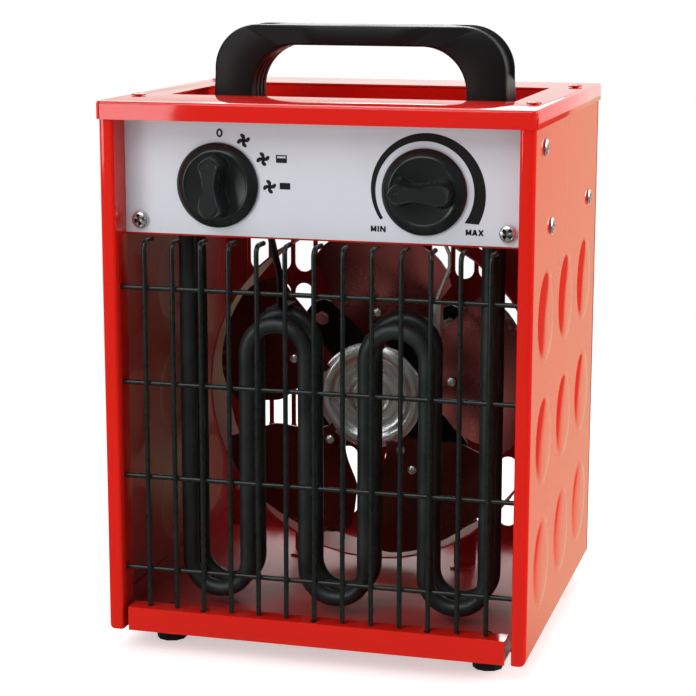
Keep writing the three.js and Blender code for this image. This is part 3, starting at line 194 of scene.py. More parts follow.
def make_floor():
    """Pale paper that keeps the shadow, turns white further off, and has its own level in reflections."""
    mesh = bpy.data.meshes.new("floor")
    corners = [(x * FLOOR_HALF, y * FLOOR_HALF, 0) for x, y in ((-1, -1), (1, -1), (1, 1), (-1, 1))]
    mesh.from_pydata(corners, [], [(0, 1, 2, 3)])
    floor = add_object("floor", mesh)
    material = bpy.data.materials.new("floor_paper")
    graph = Graph(material)
    ray = graph.add("LightPath").outputs
    camera = ray["Is Camera Ray"]
    place = graph.add("TexCoord").outputs["Object"]
    x, y, _ = graph.axes(place)

    paper = graph.add("BsdfDiffuse", {"Color": FLOOR_COLOUR}).outputs[0]
    lift = graph.add("Emission", {"Strength": graph.math("MULTIPLY", camera, FLOOR_LIFT)}).outputs[0]
    near = graph.add("AddShader", {0: paper, 1: lift}).outputs[0]
    reach = graph.add("VectorMath", {0: place}, "LENGTH").outputs["Value"]
    away = graph.ramp(reach, *FLOOR_WHITE, kind="SMOOTHSTEP")
    white = graph.add("Emission").outputs[0]
    shown = graph.blend(graph.math("MULTIPLY", away, camera), near, white)

    level = graph.ramp(y, *MIRRORED_BACK, ROOM, MIRRORED_FLOOR, "SMOOTHSTEP")
    slanted = graph.math("MULTIPLY_ADD", y, -MIRRORED_SLANT, x)
    aside = graph.ramp(slanted, *MIRRORED_RIGHT, 1.0, MIRRORED_ASIDE, "SMOOTHSTEP")
    mirrored = graph.add("Emission", {"Color": MIRRORED_COLOUR,
                                      "Strength": graph.math("MULTIPLY", level, aside)}).outputs[0]
    graph.add("OutputMaterial", {"Surface": graph.blend(ray["Is Glossy Ray"], shown, mirrored)})
    mesh.materials.append(material)


# ------------------------------------------------------------------ materials

# the air way's limits, with the pressings of the sides; within them the red is darkened as painted shade,
# growing from front to deep
INSIDE = {"front": 4.0, "deep": 34.0, "back": 190.2, "low": 2.0, "high": 196.2, "half": 105.6}
INSIDE_ROUGH = 0.4  # how much rougher the paint is inside the case
INSIDE_FACING = 0.15  # faces of the sides that point outwards by more than this are outside
EDGE_TINT_BREAKS = 260.0  # cycles a metre of the breaks in the lighter edge tint, which is partly wear and partly painted highlight
EDGE_TINT_WIDTH = 0.0006  # width of the lighter line along outer edges, partly wear and partly painted highlight, in metres


class Finish(Graph):
    """A material built up around one principled shader."""

    def __init__(self, name, metallic, specular):
        self.material = bpy.data.materials.new(name)
        super().__init__(self.material)
        self.shader = self.add("BsdfPrincipled", {"Metallic": metallic, "Specular IOR Level": specular})
        self.add("OutputMaterial", {"Surface": self.shader.outputs["BSDF"]})
        self.place = self.add("TexCoord").outputs["Object"]
        self.normal = self.add("NewGeometry").outputs["Normal"]

    def noise(self, scale, detail, roughness):
        """A noise of so many cycles a metre."""
        return self.add("TexNoise", {"Scale": scale, "Detail": detail, "Roughness": roughness,
                                     "Vector": self.place}).outputs["Fac"]

    def mix(self, factor, a, b):
        """Mixes two colours."""
        node = self.add("Mix")
        node.data_type = "RGBA"
        for index, value in ((0, factor), (6, a), (7, b)):
            self.fill(node.inputs[index], value)
        return node.outputs[2]

    def inside(self):
        """The mask for the painted shade and the rougher paint inside the case: 1 on what faces the air way
        within the case, rising behind the grille, and 0 outside.
        """
        x, y, z = self.axes(self.place)
        outwards = self.math("MULTIPLY", self.math("SIGN", x), self.axes(self.normal)["X"])
        inside_shade_mask = self.ramp(y, (INSIDE["front"] - CASE_BACK) * MM, (INSIDE["deep"] - CASE_BACK) * MM)
        for operation, value, limit in (
                ("LESS_THAN", y, (INSIDE["back"] - CASE_BACK) * MM),
                ("GREATER_THAN", z, (INSIDE["low"] + FEET) * MM),
                ("LESS_THAN", z, (INSIDE["high"] + FEET) * MM),
                ("LESS_THAN", self.math("ABSOLUTE", x), INSIDE["half"] * MM),
                ("LESS_THAN", outwards, INSIDE_FACING)):
            inside_shade_mask = self.math("MULTIPLY", inside_shade_mask, self.math(operation, value, limit))
        return inside_shade_mask

    def edges(self, radius):
        """1 on outer edges and corners, fading to 0 on flat faces."""
        bevel = self.add("Bevel", {"Radius": radius})
        bevel.samples = 4
        dot = self.add("VectorMath", {0: bevel.outputs["Normal"], 1: self.normal}, "DOT_PRODUCT")
        return self.ramp(self.math("SUBTRACT", 1.0, dot.outputs["Value"]), 0.02, 0.3)

    def recess_shade_mask(self, reach):
        """Painted shade: 1 deep in slots and grooves, fading to 0 on open faces."""
        near = self.add("AmbientOcclusion", {"Distance": reach})
        near.samples = 8
        near.only_local = True
        return self.ramp(near.outputs["AO"], 0.85, 0.45)

    def set(self, name, value):
        self.fill(self.shader.inputs[name], value)

    def bump(self, height, distance):
        self.set("Normal", self.add("Bump", {"Distance": distance, "Height": height}).outputs["Normal"])


def srgb(r, g, b):
    """A linear colour from display values of 0 to 255."""
    def linear(value):
        value /= 255.0
        return value / 12.92 if value <= 0.04045 else ((value + 0.055) / 1.055) ** 2.4
    return (linear(r), linear(g), linear(b), 1.0)


def shade(colour, factor):
    return tuple(min(1.0, c * factor) for c in colour[:3]) + (1.0,)


def varied(name, colour, roughness, vary, patch, grain, grain_depth, metallic=0.0, specular=0.5, wear_and_highlight=None,
           wear_and_highlight_share=0.5, inside=None, recess_shade_reach=0.0):
    """The usual finish: patchy colour, uneven gloss, a fine grain, a lighter edge tint that is partly wear
    and partly painted highlight, painted shade in the recesses and, where asked, painted shade inside the
    case.

    patch and grain are cycles a metre, and grain_depth and crevice are metres.
    """
    made = Finish(name, metallic, specular)
    patches = made.noise(patch, 4.0, 0.55)
    grains = made.noise(grain, 2.0, 0.6)
    tone = made.mix(made.ramp(patches, 0.3, 0.7), shade(colour, 1 - vary), shade(colour, 1 + vary))
    # wear and painted highlight: outer edges take a lighter tint of the colour, broken up by noise
    if wear_and_highlight:
        edge_tint_breaks = made.ramp(made.noise(EDGE_TINT_BREAKS, 3.0, 0.7), 0.5, 0.62, 0.0, wear_and_highlight_share)
        tone = made.mix(made.math("MULTIPLY", made.edges(EDGE_TINT_WIDTH), edge_tint_breaks), tone, wear_and_highlight)
    # painted shade: slots and grooves such as the screws' cross recesses are darkened nearly to black where
    # shade falls
    if recess_shade_reach:
        tone = made.mix(made.recess_shade_mask(recess_shade_reach), tone, shade(colour, 0.03))
    gloss = made.ramp(made.math("ADD", patches, made.math("MULTIPLY", grains, 0.5)),
                      0.5, 1.0, roughness * 0.82, min(1.0, roughness * 1.2))
    # painted shade: inside the case the red turns darker, where little light reaches; the paint is also
    # rougher there
    if inside:
        inside_shade_mask = made.inside()
        tone = made.mix(inside_shade_mask, tone, inside)
        gloss = made.math("ADD", gloss, made.math("MULTIPLY", inside_shade_mask, INSIDE_ROUGH))
    made.set("Base Color", tone)
    made.set("Roughness", gloss)
    made.bump(grains, grain_depth)
    return made.material


# each finish's lighter edge colour is partly wear and partly painted highlight
FINISHES = {
    # painted_red's inside colour is painted shade for the faces within the case
    "painted_red": dict(colour=srgb(214, 30, 22), roughness=0.06, specular=0.42, vary=0.03, patch=9.0,
                        grain=130.0, grain_depth=1e-6, wear_and_highlight=srgb(238, 110, 92), inside=srgb(176, 42, 37)),
    "panel_silver": dict(colour=srgb(208, 211, 219), roughness=0.42, metallic=0.05, vary=0.02, patch=30.0,
                         grain=4200.0, grain_depth=1.5e-6, wear_and_highlight=srgb(240, 240, 242)),
    "grille_wire": dict(colour=srgb(28, 36, 35), roughness=0.28, metallic=0.3, vary=0.22, patch=160.0,
                        grain=2600.0, grain_depth=6e-6, wear_and_highlight=srgb(96, 106, 104)),
    "handle_black": dict(colour=srgb(12, 15, 17), roughness=0.42, specular=0.22, vary=0.15, patch=40.0,
                         grain=2400.0, grain_depth=5e-6, wear_and_highlight=srgb(52, 60, 62)),
    "knob_black": dict(colour=srgb(25, 31, 31), roughness=0.24, specular=0.4, vary=0.12, patch=60.0,
                       grain=3200.0, grain_depth=4e-6, wear_and_highlight=srgb(96, 106, 104), wear_and_highlight_share=0.6),
    "element_steel": dict(colour=srgb(46, 54, 54), roughness=0.42, metallic=0.45, vary=0.35, patch=60.0,
                          grain=1500.0, grain_depth=1.6e-5, wear_and_highlight=srgb(96, 104, 104)),
    # the blades are aluminium; this dark red-brown is painted shade and a painted reflection of the red
    # case round them, a darker copy of fan_aluminium
    "painted_shade_fan_blade": dict(colour=srgb(96, 38, 33), roughness=0.3, metallic=0.7, vary=0.12, patch=30.0,
                      grain=400.0, grain_depth=1e-6, wear_and_highlight=srgb(190, 180, 178)),
    # the recess reach given to fan_aluminium and steel is how far, in metres, shade is painted into their
    # recesses
    "fan_aluminium": dict(colour=srgb(226, 230, 232), roughness=0.24, metallic=0.8, vary=0.06, patch=30.0,
                          grain=400.0, grain_depth=2e-6, wear_and_highlight=srgb(245, 246, 248), recess_shade_reach=0.003),
    "steel": dict(colour=srgb(226, 228, 230), roughness=0.22, metallic=0.85, vary=0.06, patch=120.0,
                  grain=900.0, grain_depth=2e-6, wear_and_highlight=srgb(240, 241, 243), recess_shade_reach=0.0016),
    "dark_steel": dict(colour=srgb(40, 42, 44), roughness=0.4, metallic=0.8, vary=0.2, patch=60.0,
                       grain=1500.0, grain_depth=8e-6, wear_and_highlight=srgb(110, 112, 114)),
    "rubber": dict(colour=srgb(20, 21, 22), roughness=0.8, specular=0.25, vary=0.2, patch=90.0,
                   grain=1800.0, grain_depth=3e-5, wear_and_highlight=srgb(52, 53, 55)),
    "moulding": dict(colour=srgb(214, 209, 196), roughness=0.5, vary=0.06, patch=50.0,
                     grain=2200.0, grain_depth=8e-6, wear_and_highlight=srgb(235, 232, 224)),
    "black_moulding": dict(colour=srgb(18, 19, 20), roughness=0.5, specular=0.3, vary=0.15, patch=50.0,
                           grain=2200.0, grain_depth=8e-6, wear_and_highlight=srgb(60, 62, 64)),
    "print_black": dict(colour=srgb(14, 15, 16), roughness=0.5, specular=0.3, vary=0.2, patch=300.0,
                        grain=5200.0, grain_depth=2e-6),
}


# ------------------------------------------------------------------ smooth shading of the CAD solids

MERGE = 2e-6  # corners closer than this are joined, in metres
SMOOTH_ANGLE = math.radians(32.0)


def smoothing_group():
    """A modifier group that joins coincident corners and shades smooth up to an angle."""
    group = bpy.data.node_groups.new("smooth_by_angle", "GeometryNodeTree")
    for name, way, kind in (("Geometry", "INPUT", "Geometry"), ("Angle", "INPUT", "Float"),
                            ("Geometry", "OUTPUT", "Geometry")):
        group.interface.new_socket(name, in_out=way, socket_type=f"NodeSocket{kind}")
    nodes, links = group.nodes, group.links
    source = nodes.new("NodeGroupInput")
    bare = nodes.new("GeometryNodeRemoveAttribute")
    bare.inputs["Name"].default_value = "custom_normal"
    merge = nodes.new("GeometryNodeMergeByDistance")
    merge.inputs["Distance"].default_value = MERGE
    faces = nodes.new("GeometryNodeSetShadeSmooth")
    faces.domain = "FACE"
    faces.inputs["Shade Smooth"].default_value = True
    angle = nodes.new("GeometryNodeInputMeshEdgeAngle")
    under = nodes.new("FunctionNodeCompare")
    under.data_type = "FLOAT"
    under.operation = "LESS_THAN"
    edges = nodes.new("GeometryNodeSetShadeSmooth")
    edges.domain = "EDGE"
    out = nodes.new("NodeGroupOutput")
    for before, after in ((source, bare), (bare, merge), (merge, faces), (faces, edges), (edges, out)):
        links.new(before.outputs["Geometry"], after.inputs["Geometry"])
    links.new(angle.outputs["Unsigned Angle"], under.inputs[0])
    links.new(source.outputs["Angle"], under.inputs[1])
    links.new(under.outputs["Result"], edges.inputs["Shade Smooth"])
    return group


def dress_nodes(solids, materials):
    """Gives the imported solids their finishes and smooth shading."""
    group = smoothing_group()
    for obj in solids.values():
        for index, used in enumerate(obj.data.materials):
            obj.material_slots[index].material = materials[used.name.split(".")[0]]
        modifier = obj.modifiers.new("smooth", "NODES")
        modifier.node_group = group
        for item in group.interface.items_tree:
            if item.name == "Angle":
                modifier[item.identifier] = SMOOTH_ANGLE


# ------------------------------------------------------------------ mesh helpers

FACING = {
    "up": Matrix.Identity(4),
    "front": Matrix.Rotation(math.pi / 2, 4, "X"),
    "back": Matrix.Rotation(-math.pi / 2, 4, "X"),
    "right": Matrix.Rotation(math.pi / 2, 4, "Y"),
    "left": Matrix.Rotation(-math.pi / 2, 4, "Y"),
}


def placed(x=0.0, y=0.0, z=0.0, facing="up", turn=0.0):
    """From a piece's own millimetres, drawn about +Z, to its place on the case."""
    return (Matrix.Translation(at(x, y, z)) @ FACING[facing]
            @ Matrix.Rotation(math.radians(turn), 4, "Z") @ Matrix.Scale(MM, 4))


def loft(shape, rings, matrix):
    """A closed form from rings of points, all of the same count."""
    made = [[shape.verts.new(matrix @ Vector(p)) for p in ring] for ring in rings]
    count = len(rings[0])
    for low, high in zip(made, made[1:]):
        for i in range(count):
            k = (i + 1) % count
            shape.faces.new((low[i], low[k], high[k], high[i]))
    shape.faces.new(made[0][::-1])
    shape.faces.new(made[-1])


def turns(steps):
    """The angles of so many even steps round a circle."""
    return [2 * math.pi * k / steps for k in range(steps)]


def circle(radius, z, sides):
    return [(radius * math.cos(a), radius * math.sin(a), z) for a in turns(sides)]


def revolve(shape, profile, sides, matrix):
    """A solid of revolution about +Z from (radius, height) pairs that start and end on the axis."""
    loft(shape, [circle(max(r, 1e-4), z, sides) for r, z in profile], matrix)


def tube(shape, points, radius, sides, matrix):
    """A round bar through points, with its ends closed."""
    points = [Vector(p) for p in points]
    side = (points[1] - points[0]).normalized().orthogonal().normalized()
    rings = []
    for i, point in enumerate(points):
        before = points[max(i - 1, 0)]
        after = points[min(i + 1, len(points) - 1)]
        along = (after - before).normalized()
        side = (side - along * side.dot(along)).normalized()
        other = along.cross(side)
        bend = 1.0
        if 0 < i < len(points) - 1:
            bend = 1.0 / max(0.5, (point - before).normalized().dot(along))
        rings.append([point + (side * math.cos(a) + other * math.sin(a)) * radius * bend
                      for a in turns(sides)])
    loft(shape, rings, matrix)


def brick(shape, x0, x1, y0, y1, z0, z1, matrix):
    loft(shape, [[(x0, y0, z), (x1, y0, z), (x1, y1, z), (x0, y1, z)] for z in (z0, z1)], matrix)


def arc(x, y, z, radius, start, end, steps):
    """Points on an arc in a plane of constant y, between two angles in degrees."""
    angles = [math.radians(start + (end - start) * i / steps) for i in range(steps + 1)]
    return [(x + radius * math.cos(a), y, z + radius * math.sin(a)) for a in angles]


def through(points, steps):
    """A smooth curve of points through a few given ones."""
    points = [Vector(p) for p in points]
    ends = [2 * points[0] - points[1]] + points + [2 * points[-1] - points[-2]]
    curve = []
    for a, b, c, d in zip(ends, ends[1:], ends[2:], ends[3:]):
        for i in range(steps):
            t = i / steps
            curve.append(0.5 * ((2 * b) + (c - a) * t + (2 * a - 5 * b + 4 * c - d) * t ** 2
                                + (3 * b - a - 3 * c + d) * t ** 3))
    return curve + [points[-1]]


def mount(name, mesh, material, body):
    """Puts a mesh on a body as a piece."""
    mesh.materials.append(material)
    piece = add_object(name, mesh)
    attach(piece, body)
    return piece


def finish_piece(name, shape, material, body, replaces=(), smooth=35.0):
    """Closes a shape, shades it smooth up to an angle in degrees and mounts it."""
    bmesh.ops.remove_doubles(shape, verts=shape.verts, dist=1e-6)
    bmesh.ops.dissolve_degenerate(shape, edges=shape.edges, dist=1e-7)
    bmesh.ops.recalc_face_normals(shape, faces=shape.faces)
    mesh = bpy.data.meshes.new(name)
    shape.to_mesh(mesh)
    shape.free()
    mesh.shade_smooth()
    mesh.set_sharp_from_angle(angle=math.radians(smooth))
    piece = mount(name, mesh, material, body)
    if replaces:
        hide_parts(*replaces)


# ------------------------------------------------------------------ screws

DEEP_CROSS = {"width": 1.35, "length": 5.2, "depth": 2.0}
SHALLOW_CROSS = {"width": 0.95, "length": 4.2, "depth": 1.0}

# places are those of the right half
SCREWS = {
    "panel": dict(radius=4.2, height=2.3, facing="front", slot="steel", cross=DEEP_CROSS,
                  places=[(90.0, 16.5, 203.1)]),
    "side": dict(radius=4.1, height=1.15, facing="side", slot="steel", cross=SHALLOW_CROSS,
                 places=[(104.7, 27.0, 242.2), (104.7, 47.3, 203.3), (104.7, 161.5, 203.4)]),
    "top": dict(radius=3.6, height=1.1, facing="up", slot="painted_red", cross=SHALLOW_CROSS,
                places=[(97.45, 36.0, 261.0), (97.45, 156.0, 261.0)]),
    "rear": dict(radius=3.9, height=2.3, facing="back", slot="steel", cross=DEEP_CROSS,
                 places=[(98.7, 190.7, 24.0), (98.7, 190.7, 240.0)]),
}

HEAD_SEAT = 0.3
HEAD_SIDES = 56
HEAD_STEPS = 15
SHANK = [(0, -5.5), (1.2, -5.5), (1.6, -5.0), (1.6, 0.35), (0, 0.35)]


def screw_head(shape, matrix, radius, height, cross):
    """A domed head with a cross recess, about +Z."""
    rings = [circle(radius * share, HEAD_SEAT + rise * height, HEAD_SIDES)
             for share, rise in ((0.4, 0), (0.97, 0), (1, 0.12), (1, 0.3))]
    half_width, half_length = cross["width"] / 2, cross["length"] / 2
    for k in range(HEAD_STEPS):
        share = 1 - (k + 0.35) / HEAD_STEPS
        r = radius * share
        dome = HEAD_SEAT + height * (0.3 + 0.7 * math.sqrt(1 - share ** 3.2))
        ring = []
        for x, y, _ in circle(r, 0, HEAD_SIDES):
            inside = max(min(half_width - abs(x), half_length - abs(y)),
                         min(half_width - abs(y), half_length - abs(x)))
            sink = cross["depth"] * clamp(inside / 0.22 + 0.5) * (1 - 0.35 * r / cross["length"])
            ring.append((x, y, max(dome - sink, HEAD_SEAT + 0.1)))
        rings.append(ring)
    loft(shape, rings, matrix)


def make_screws(materials):
    """All the screws, each head at a turn of its own."""
    for group, screw in SCREWS.items():
        slot, places = screw["slot"], screw["places"]
        for side, name in ((-1, "left"), (1, "right")):
            facing = name if screw["facing"] == "side" else screw["facing"]
            for k, (x, y, z) in enumerate(places):
                node = f"screw_{group}_{name}" + (f"_{k + 1}" if len(places) > 1 else "")
                shape = bmesh.new()
                matrix = placed(side * x, y, z, facing, 31.0 * (k + 1) + 17.0 * side)
                screw_head(shape, matrix, screw["radius"], screw["height"], screw["cross"])
                revolve(shape, SHANK, 16, matrix)
                finish_piece(f"{node}_head", shape, materials[slot], "case", [node], 40.0)


# ------------------------------------------------------------------ control knobs

# the right half of the grip's outline, from its blunt end to its pointing end
GRIP_HALF = [(0.0, -14.6), (2.4, -14.2), (4.2, -12.6), (5.1, -10.0), (4.7, -6.6), (3.7, -2.8), (3.3, 1.0),
             (3.6, 4.8), (4.6, 8.2), (5.0, 10.2), (4.1, 12.2), (2.2, 13.9), (0.0, 15.0)]

# height above the panel, and the outline's width and length as shares
GRIP_RINGS = [(3.0, 1.5, 1.04), (4.3, 1.36, 1.03), (5.4, 1.24, 1.01), (10.0, 1.08, 0.985),
              (14.5, 0.97, 0.96), (15.3, 0.93, 0.95), (15.75, 0.85, 0.935), (15.75, 0.78, 0.92),
              (15.4, 0.72, 0.905), (15.4, 0.3, 0.6)]

KNOB_DISC = [(0, 0.3), (19.9, 0.3), (20.3, 0.6), (20.3, 1.35), (20.0, 1.75), (18.4, 2.9), (17.0, 3.85),
             (16.4, 4.15), (15.8, 4.2), (15.2, 3.95), (14.6, 3.8), (0, 3.8)]
KNOB_SPINDLE = [(0, -13.7), (2.7, -13.7), (3.0, -13.4), (3.0, 0.8), (0, 0.8)]
POINTER = [(-1.5, 8.6), (0.0, 11.4), (1.5, 8.6), (0.0, 9.3)]
POINTER_RINGS = [(15.2, 1.1), (15.7, 1.0)]  # height above the panel, and width as a share


def grip_ring(z, wide, reach):
    """The waisted outline of a knob's grip, its pointing end towards +Y."""
    half = through([(x, y, 0) for x, y in GRIP_HALF], 4)
    ring = [(p.x, p.y) for p in half] + [(-p.x, p.y) for p in half[-2:0:-1]]
    return [(x * wide, y * reach, z) for x, y in ring]


def make_knob(node, body, x, turn, material):
    shape = bmesh.new()
    matrix = placed(x, PANEL_Y, KNOB_Z, "front", turn)
    revolve(shape, KNOB_DISC, 96, matrix)
    loft(shape, [grip_ring(*ring) for ring in GRIP_RINGS], matrix)
    loft(shape, [[(px * wide, py, z) for px, py in POINTER] for z, wide in POINTER_RINGS], matrix)
    revolve(shape, KNOB_SPINDLE, 24, matrix)
    finish_piece(f"{node}_shell", shape, material, body, [node], 38.0)


# ------------------------------------------------------------------ handle

HANDLE = {"top": 294.2, "under": 284.0, "half": 75.0, "inner": 54.8, "radius": 22.4, "front": 83.9,
          "back": 108.4, "foot": 239.3}
EDGE = 1.9  # the rounding of the handle's long edges
EDGE_MIDDLE = 0.55
CHANNEL = {"depth": 2.2, "lip": 3.1, "wall": 3.5, "z": 268.6, "fade_z": 1.6, "x": 51.0, "fade_x": 2.5}
RIBS = {"depth": 0.9, "first": 6.4, "pitch": 5.8, "half": 1.5, "bottom": 0.75, "z": 280.0, "fade_z": 7.0,
        "x": 40.0, "fade_x": 6.0}

# how far the legs widen at the foot, the height at which that begins to fade, and how soon it is gone
FLARE_OUT = (1.2, 251.0, 20.0)
FLARE_IN = (0.9, 245.0, 14.0)


def flare(z, amount, start, height):
    return amount * (1 - ease((z - start) / height))


def handle_stations():
    """Pairs of points (outer, inner) across the handle, from its left foot over the top to its right."""
    h = HANDLE
    r = h["radius"]
    outer = (h["half"] - r, h["top"] - r)
    inner = (h["inner"] - r, h["under"] - r)
    pairs = []
    for i in range(13):
        z_out, z_in = (h["foot"] + i / 13 * (corner[1] - h["foot"]) for corner in (outer, inner))
        pairs.append(((h["half"] + flare(z_out, *FLARE_OUT), z_out),
                      (h["inner"] - flare(z_in, *FLARE_IN), z_in)))
    for i in range(29):
        a = math.radians(90 * i / 28)
        pairs.append(tuple((x + r * math.cos(a), z + r * math.sin(a)) for x, z in (outer, inner)))
    for i in range(1, 5):
        pairs.append(((outer[0] * (1 - i / 5), h["top"]), (inner[0] * (1 - i / 5), h["under"])))
    left = [((-a[0], a[1]), (-b[0], b[1])) for a, b in pairs]
    return left + [((0.0, h["top"]), (0.0, h["under"]))] + pairs[::-1]


def handle_section(outer, inner):
    """One ring of the handle: channelled outside round the corners, and ribbed inside down the legs."""
    out, inn = Vector(outer), Vector(inner)
    unit = (out - inn).normalized()
    c, b = CHANNEL, RIBS
    channel = c["depth"] * ease((outer[1] - c["z"]) / c["fade_z"])
    channel *= ease((abs(outer[0]) - c["x"]) / c["fade_x"])
    ribs = b["depth"] * ease((b["z"] - inner[1]) / b["fade_z"])
    ribs *= ease((abs(inner[0]) - b["x"]) / b["fade_x"])
    front, back = HANDLE["front"], HANDLE["back"]
    outside = [(front + EDGE, 0), (front + c["lip"], 0), (front + c["wall"], channel),
               (back - c["wall"], channel), (back - c["lip"], 0), (back - EDGE, 0),
               (back - EDGE_MIDDLE, EDGE_MIDDLE), (back, EDGE)]
    inside = [(back, EDGE), (back - EDGE_MIDDLE, EDGE_MIDDLE), (back - EDGE, 0)]
    for k in (2, 1, 0):
        middle = front + b["first"] + b["pitch"] * k
        inside += [(middle + b["half"], 0), (middle + b["bottom"], ribs),
                   (middle - b["bottom"], ribs), (middle - b["half"], 0)]
    inside += [(front + EDGE, 0), (front + EDGE_MIDDLE, EDGE_MIDDLE), (front, EDGE)]
    points = []
    for start, direction, outline in ((out, -unit, outside), (inn, unit, inside),
                                      (out, -unit, [(front, EDGE), (front + EDGE_MIDDLE, EDGE_MIDDLE)])):
        for y, depth in outline:
            base = start + direction * depth
            points.append((base.x, y, base.y))
    return points


def make_handle(material):
    shape = bmesh.new()
    loft(shape, [handle_section(a, b) for a, b in handle_stations()], placed())
    finish_piece("handle_bow", shape, material, "case", ["handle"], 30.0)


# ------------------------------------------------------------------ wires and heating elements

GRILLE = {"wires": 13, "pitch": 14.09, "radius": 1.2, "y": 5.8, "low": 12.2, "anchored": (2, 6, 10),
          "anchor": 4.7, "bend_z": 190.3, "bend_r": 3.6, "end_y": 16.8, "lean": 0.35,
          "rows": 4, "row_z": 30.8, "row_pitch": 46.8, "row_y": 8.0, "row_half": 101.05}
WELD_Y = 6.95
WELD = [(0, -0.6), (1.0, -0.5), (1.45, 0), (1.0, 0.5), (0, 0.6)]

ELEMENT = {"pitch": 30.6, "low": 11.2, "top": 212.2, "radius": 4.1, "loops": 5}
ELEMENTS = {"element_front": (44.0, 149.4), "element_rear": (61.0, 152.4)}  # y, and the upper bends' height
COLLAR = [(0, 197.2), (5.6, 197.2), (5.63, 197.4), (5.63, 203.0), (5.3, 203.2), (0, 203.2)]
TERMINAL = [(0, 206.2), (1.4, 206.2), (1.4, 217.8), (1.0, 218.2), (0, 218.2)]


def make_grille(material):
    """Upright wires with bent tops, a little uneven, welded to the cross wires."""
    g = GRILLE
    shape = bmesh.new()
    matrix = placed()
    places = [(i - (g["wires"] - 1) / 2) * g["pitch"] for i in range(g["wires"])]
    for i, x in enumerate(places):
        low = g["anchor"] if i in g["anchored"] else g["low"]
        lean = g["lean"] * math.sin(2.3 * i)
        points = [(x, g["y"], z) for z in (low, 60.0, 130.0, g["bend_z"])]
        points += [(x + lean * k / 8, g["y"] + g["bend_r"] * (1 - math.cos(k * math.pi / 16)),
                    g["bend_z"] + g["bend_r"] * math.sin(k * math.pi / 16)) for k in range(1, 9)]
        points += [(x + lean * 2, g["end_y"], g["bend_z"] + g["bend_r"])]
        tube(shape, points, g["radius"], 16, matrix)
    for row in range(g["rows"]):
        z = g["row_z"] + g["row_pitch"] * row
        points = [(x, g["row_y"], z) for x in (-g["row_half"], 0, g["row_half"])]
        tube(shape, points, g["radius"], 16, matrix)
        for x in places:
            revolve(shape, WELD, 12, placed(x, WELD_Y, z, "front"))
    finish_piece("grille_wires", shape, material, "case", ["grille"], 50.0)


def make_element(node, y, arch, material):
    """A tube bent down and up between its two terminals."""
    pitch, low = ELEMENT["pitch"], ELEMENT["low"]
    r = pitch / 2
    half = ELEMENT["loops"] * r
    shape = bmesh.new()
    leg = (ELEMENT["top"], 160.0, 90.0)
    points = [(-half, y, z) for z in leg]
    for bend in range(ELEMENT["loops"]):
        x = (bend + 0.5) * pitch - half
        if bend % 2 == 0:
            points += arc(x, y, low + r, r, 180, 360, 28)
        else:
            points += arc(x, y, arch - r, r, 180, 0, 28)
    points += [(half, y, z) for z in leg[::-1]]
    tube(shape, points, ELEMENT["radius"], 24, placed())
    for side in (-1, 1):
        end = placed(side * half, y, 0)
        revolve(shape, COLLAR, 24, end)
        revolve(shape, TERMINAL, 16, end)
    finish_piece(f"{node}_tube", shape, material, "case", [node], 50.0)


# ------------------------------------------------------------------ fan

# sunk is how far a blade's root lies within the hub, and cut how far the corners of its tip are drawn in
FAN = {"y": 112.0, "z": 101.0, "r": 86.0, "hub": 28.0, "blades": 5, "angle": 13.0, "span": 62.0,
       "root": 0.34, "pitch": 23.0, "sheet": 1.2, "sunk": 4.0, "cut": 9.0, "camber": 3.0, "rib": 0.7}
BLADE_ROWS = 26
BLADE_COLUMNS = 22
RIVETS = (33.0, 45.0)  # distances of a blade's two rivets from the axis
RIVET = [(0, -2.2), (2.3, -2.2), (2.5, -0.4), (2.2, 0.3), (1.4, 0.7), (0, 0.8)]
RIVET_FRONT = 2.3
HUB = [(0, -3.0), (3.4, -3.0), (3.4, -2.4), (4.2, -2.4), (4.2, -3.0), (8.6, -3.0), (9.4, -2.7),
       (10.8, -0.3), (11.6, 0.0), (13.4, 0.0), (14.1, -0.9), (15.6, -1.0), (16.3, -0.2), (19.4, -0.2),
       (20.6, -0.9), (22.4, -2.3), (23.6, -2.4), (25.2, -2.3), (26.6, -1.5), (28.0, -1.2), (28.0, 1.2),
       (8, 2.4), (8, 12), (0, 12)]
SHAFT = [(0, 0), (3.0, 0), (3.0, 50.0), (0, 50.0)]


def blade_point(angle, u, v, offset):
    """A point on a blade: u from the hub to the tip, v from one edge to the other."""
    f = FAN
    root = f["hub"] - f["sunk"]
    r = root + (f["r"] - root) * u
    share = ease(2 * u) * (1 - f["root"]) + f["root"]
    turn = math.radians(angle + (v - 0.5) * f["span"] * share)
    reach = r - f["cut"] * abs(2 * v - 1) ** 4 * u ** 4
    pitch = f["pitch"] * (0.1 + 0.9 * min(1.0, 1.4 * u))
    rib = f["rib"] * math.exp(-((v - 0.5) * share * 9) ** 2) * ease(3.2 * (0.62 - u))
    y = f["y"] + (v - 0.5) * pitch + f["camber"] * math.sin(math.pi * v) * u + offset - rib
    return (reach * math.cos(turn), y, f["z"] + reach * math.sin(turn))


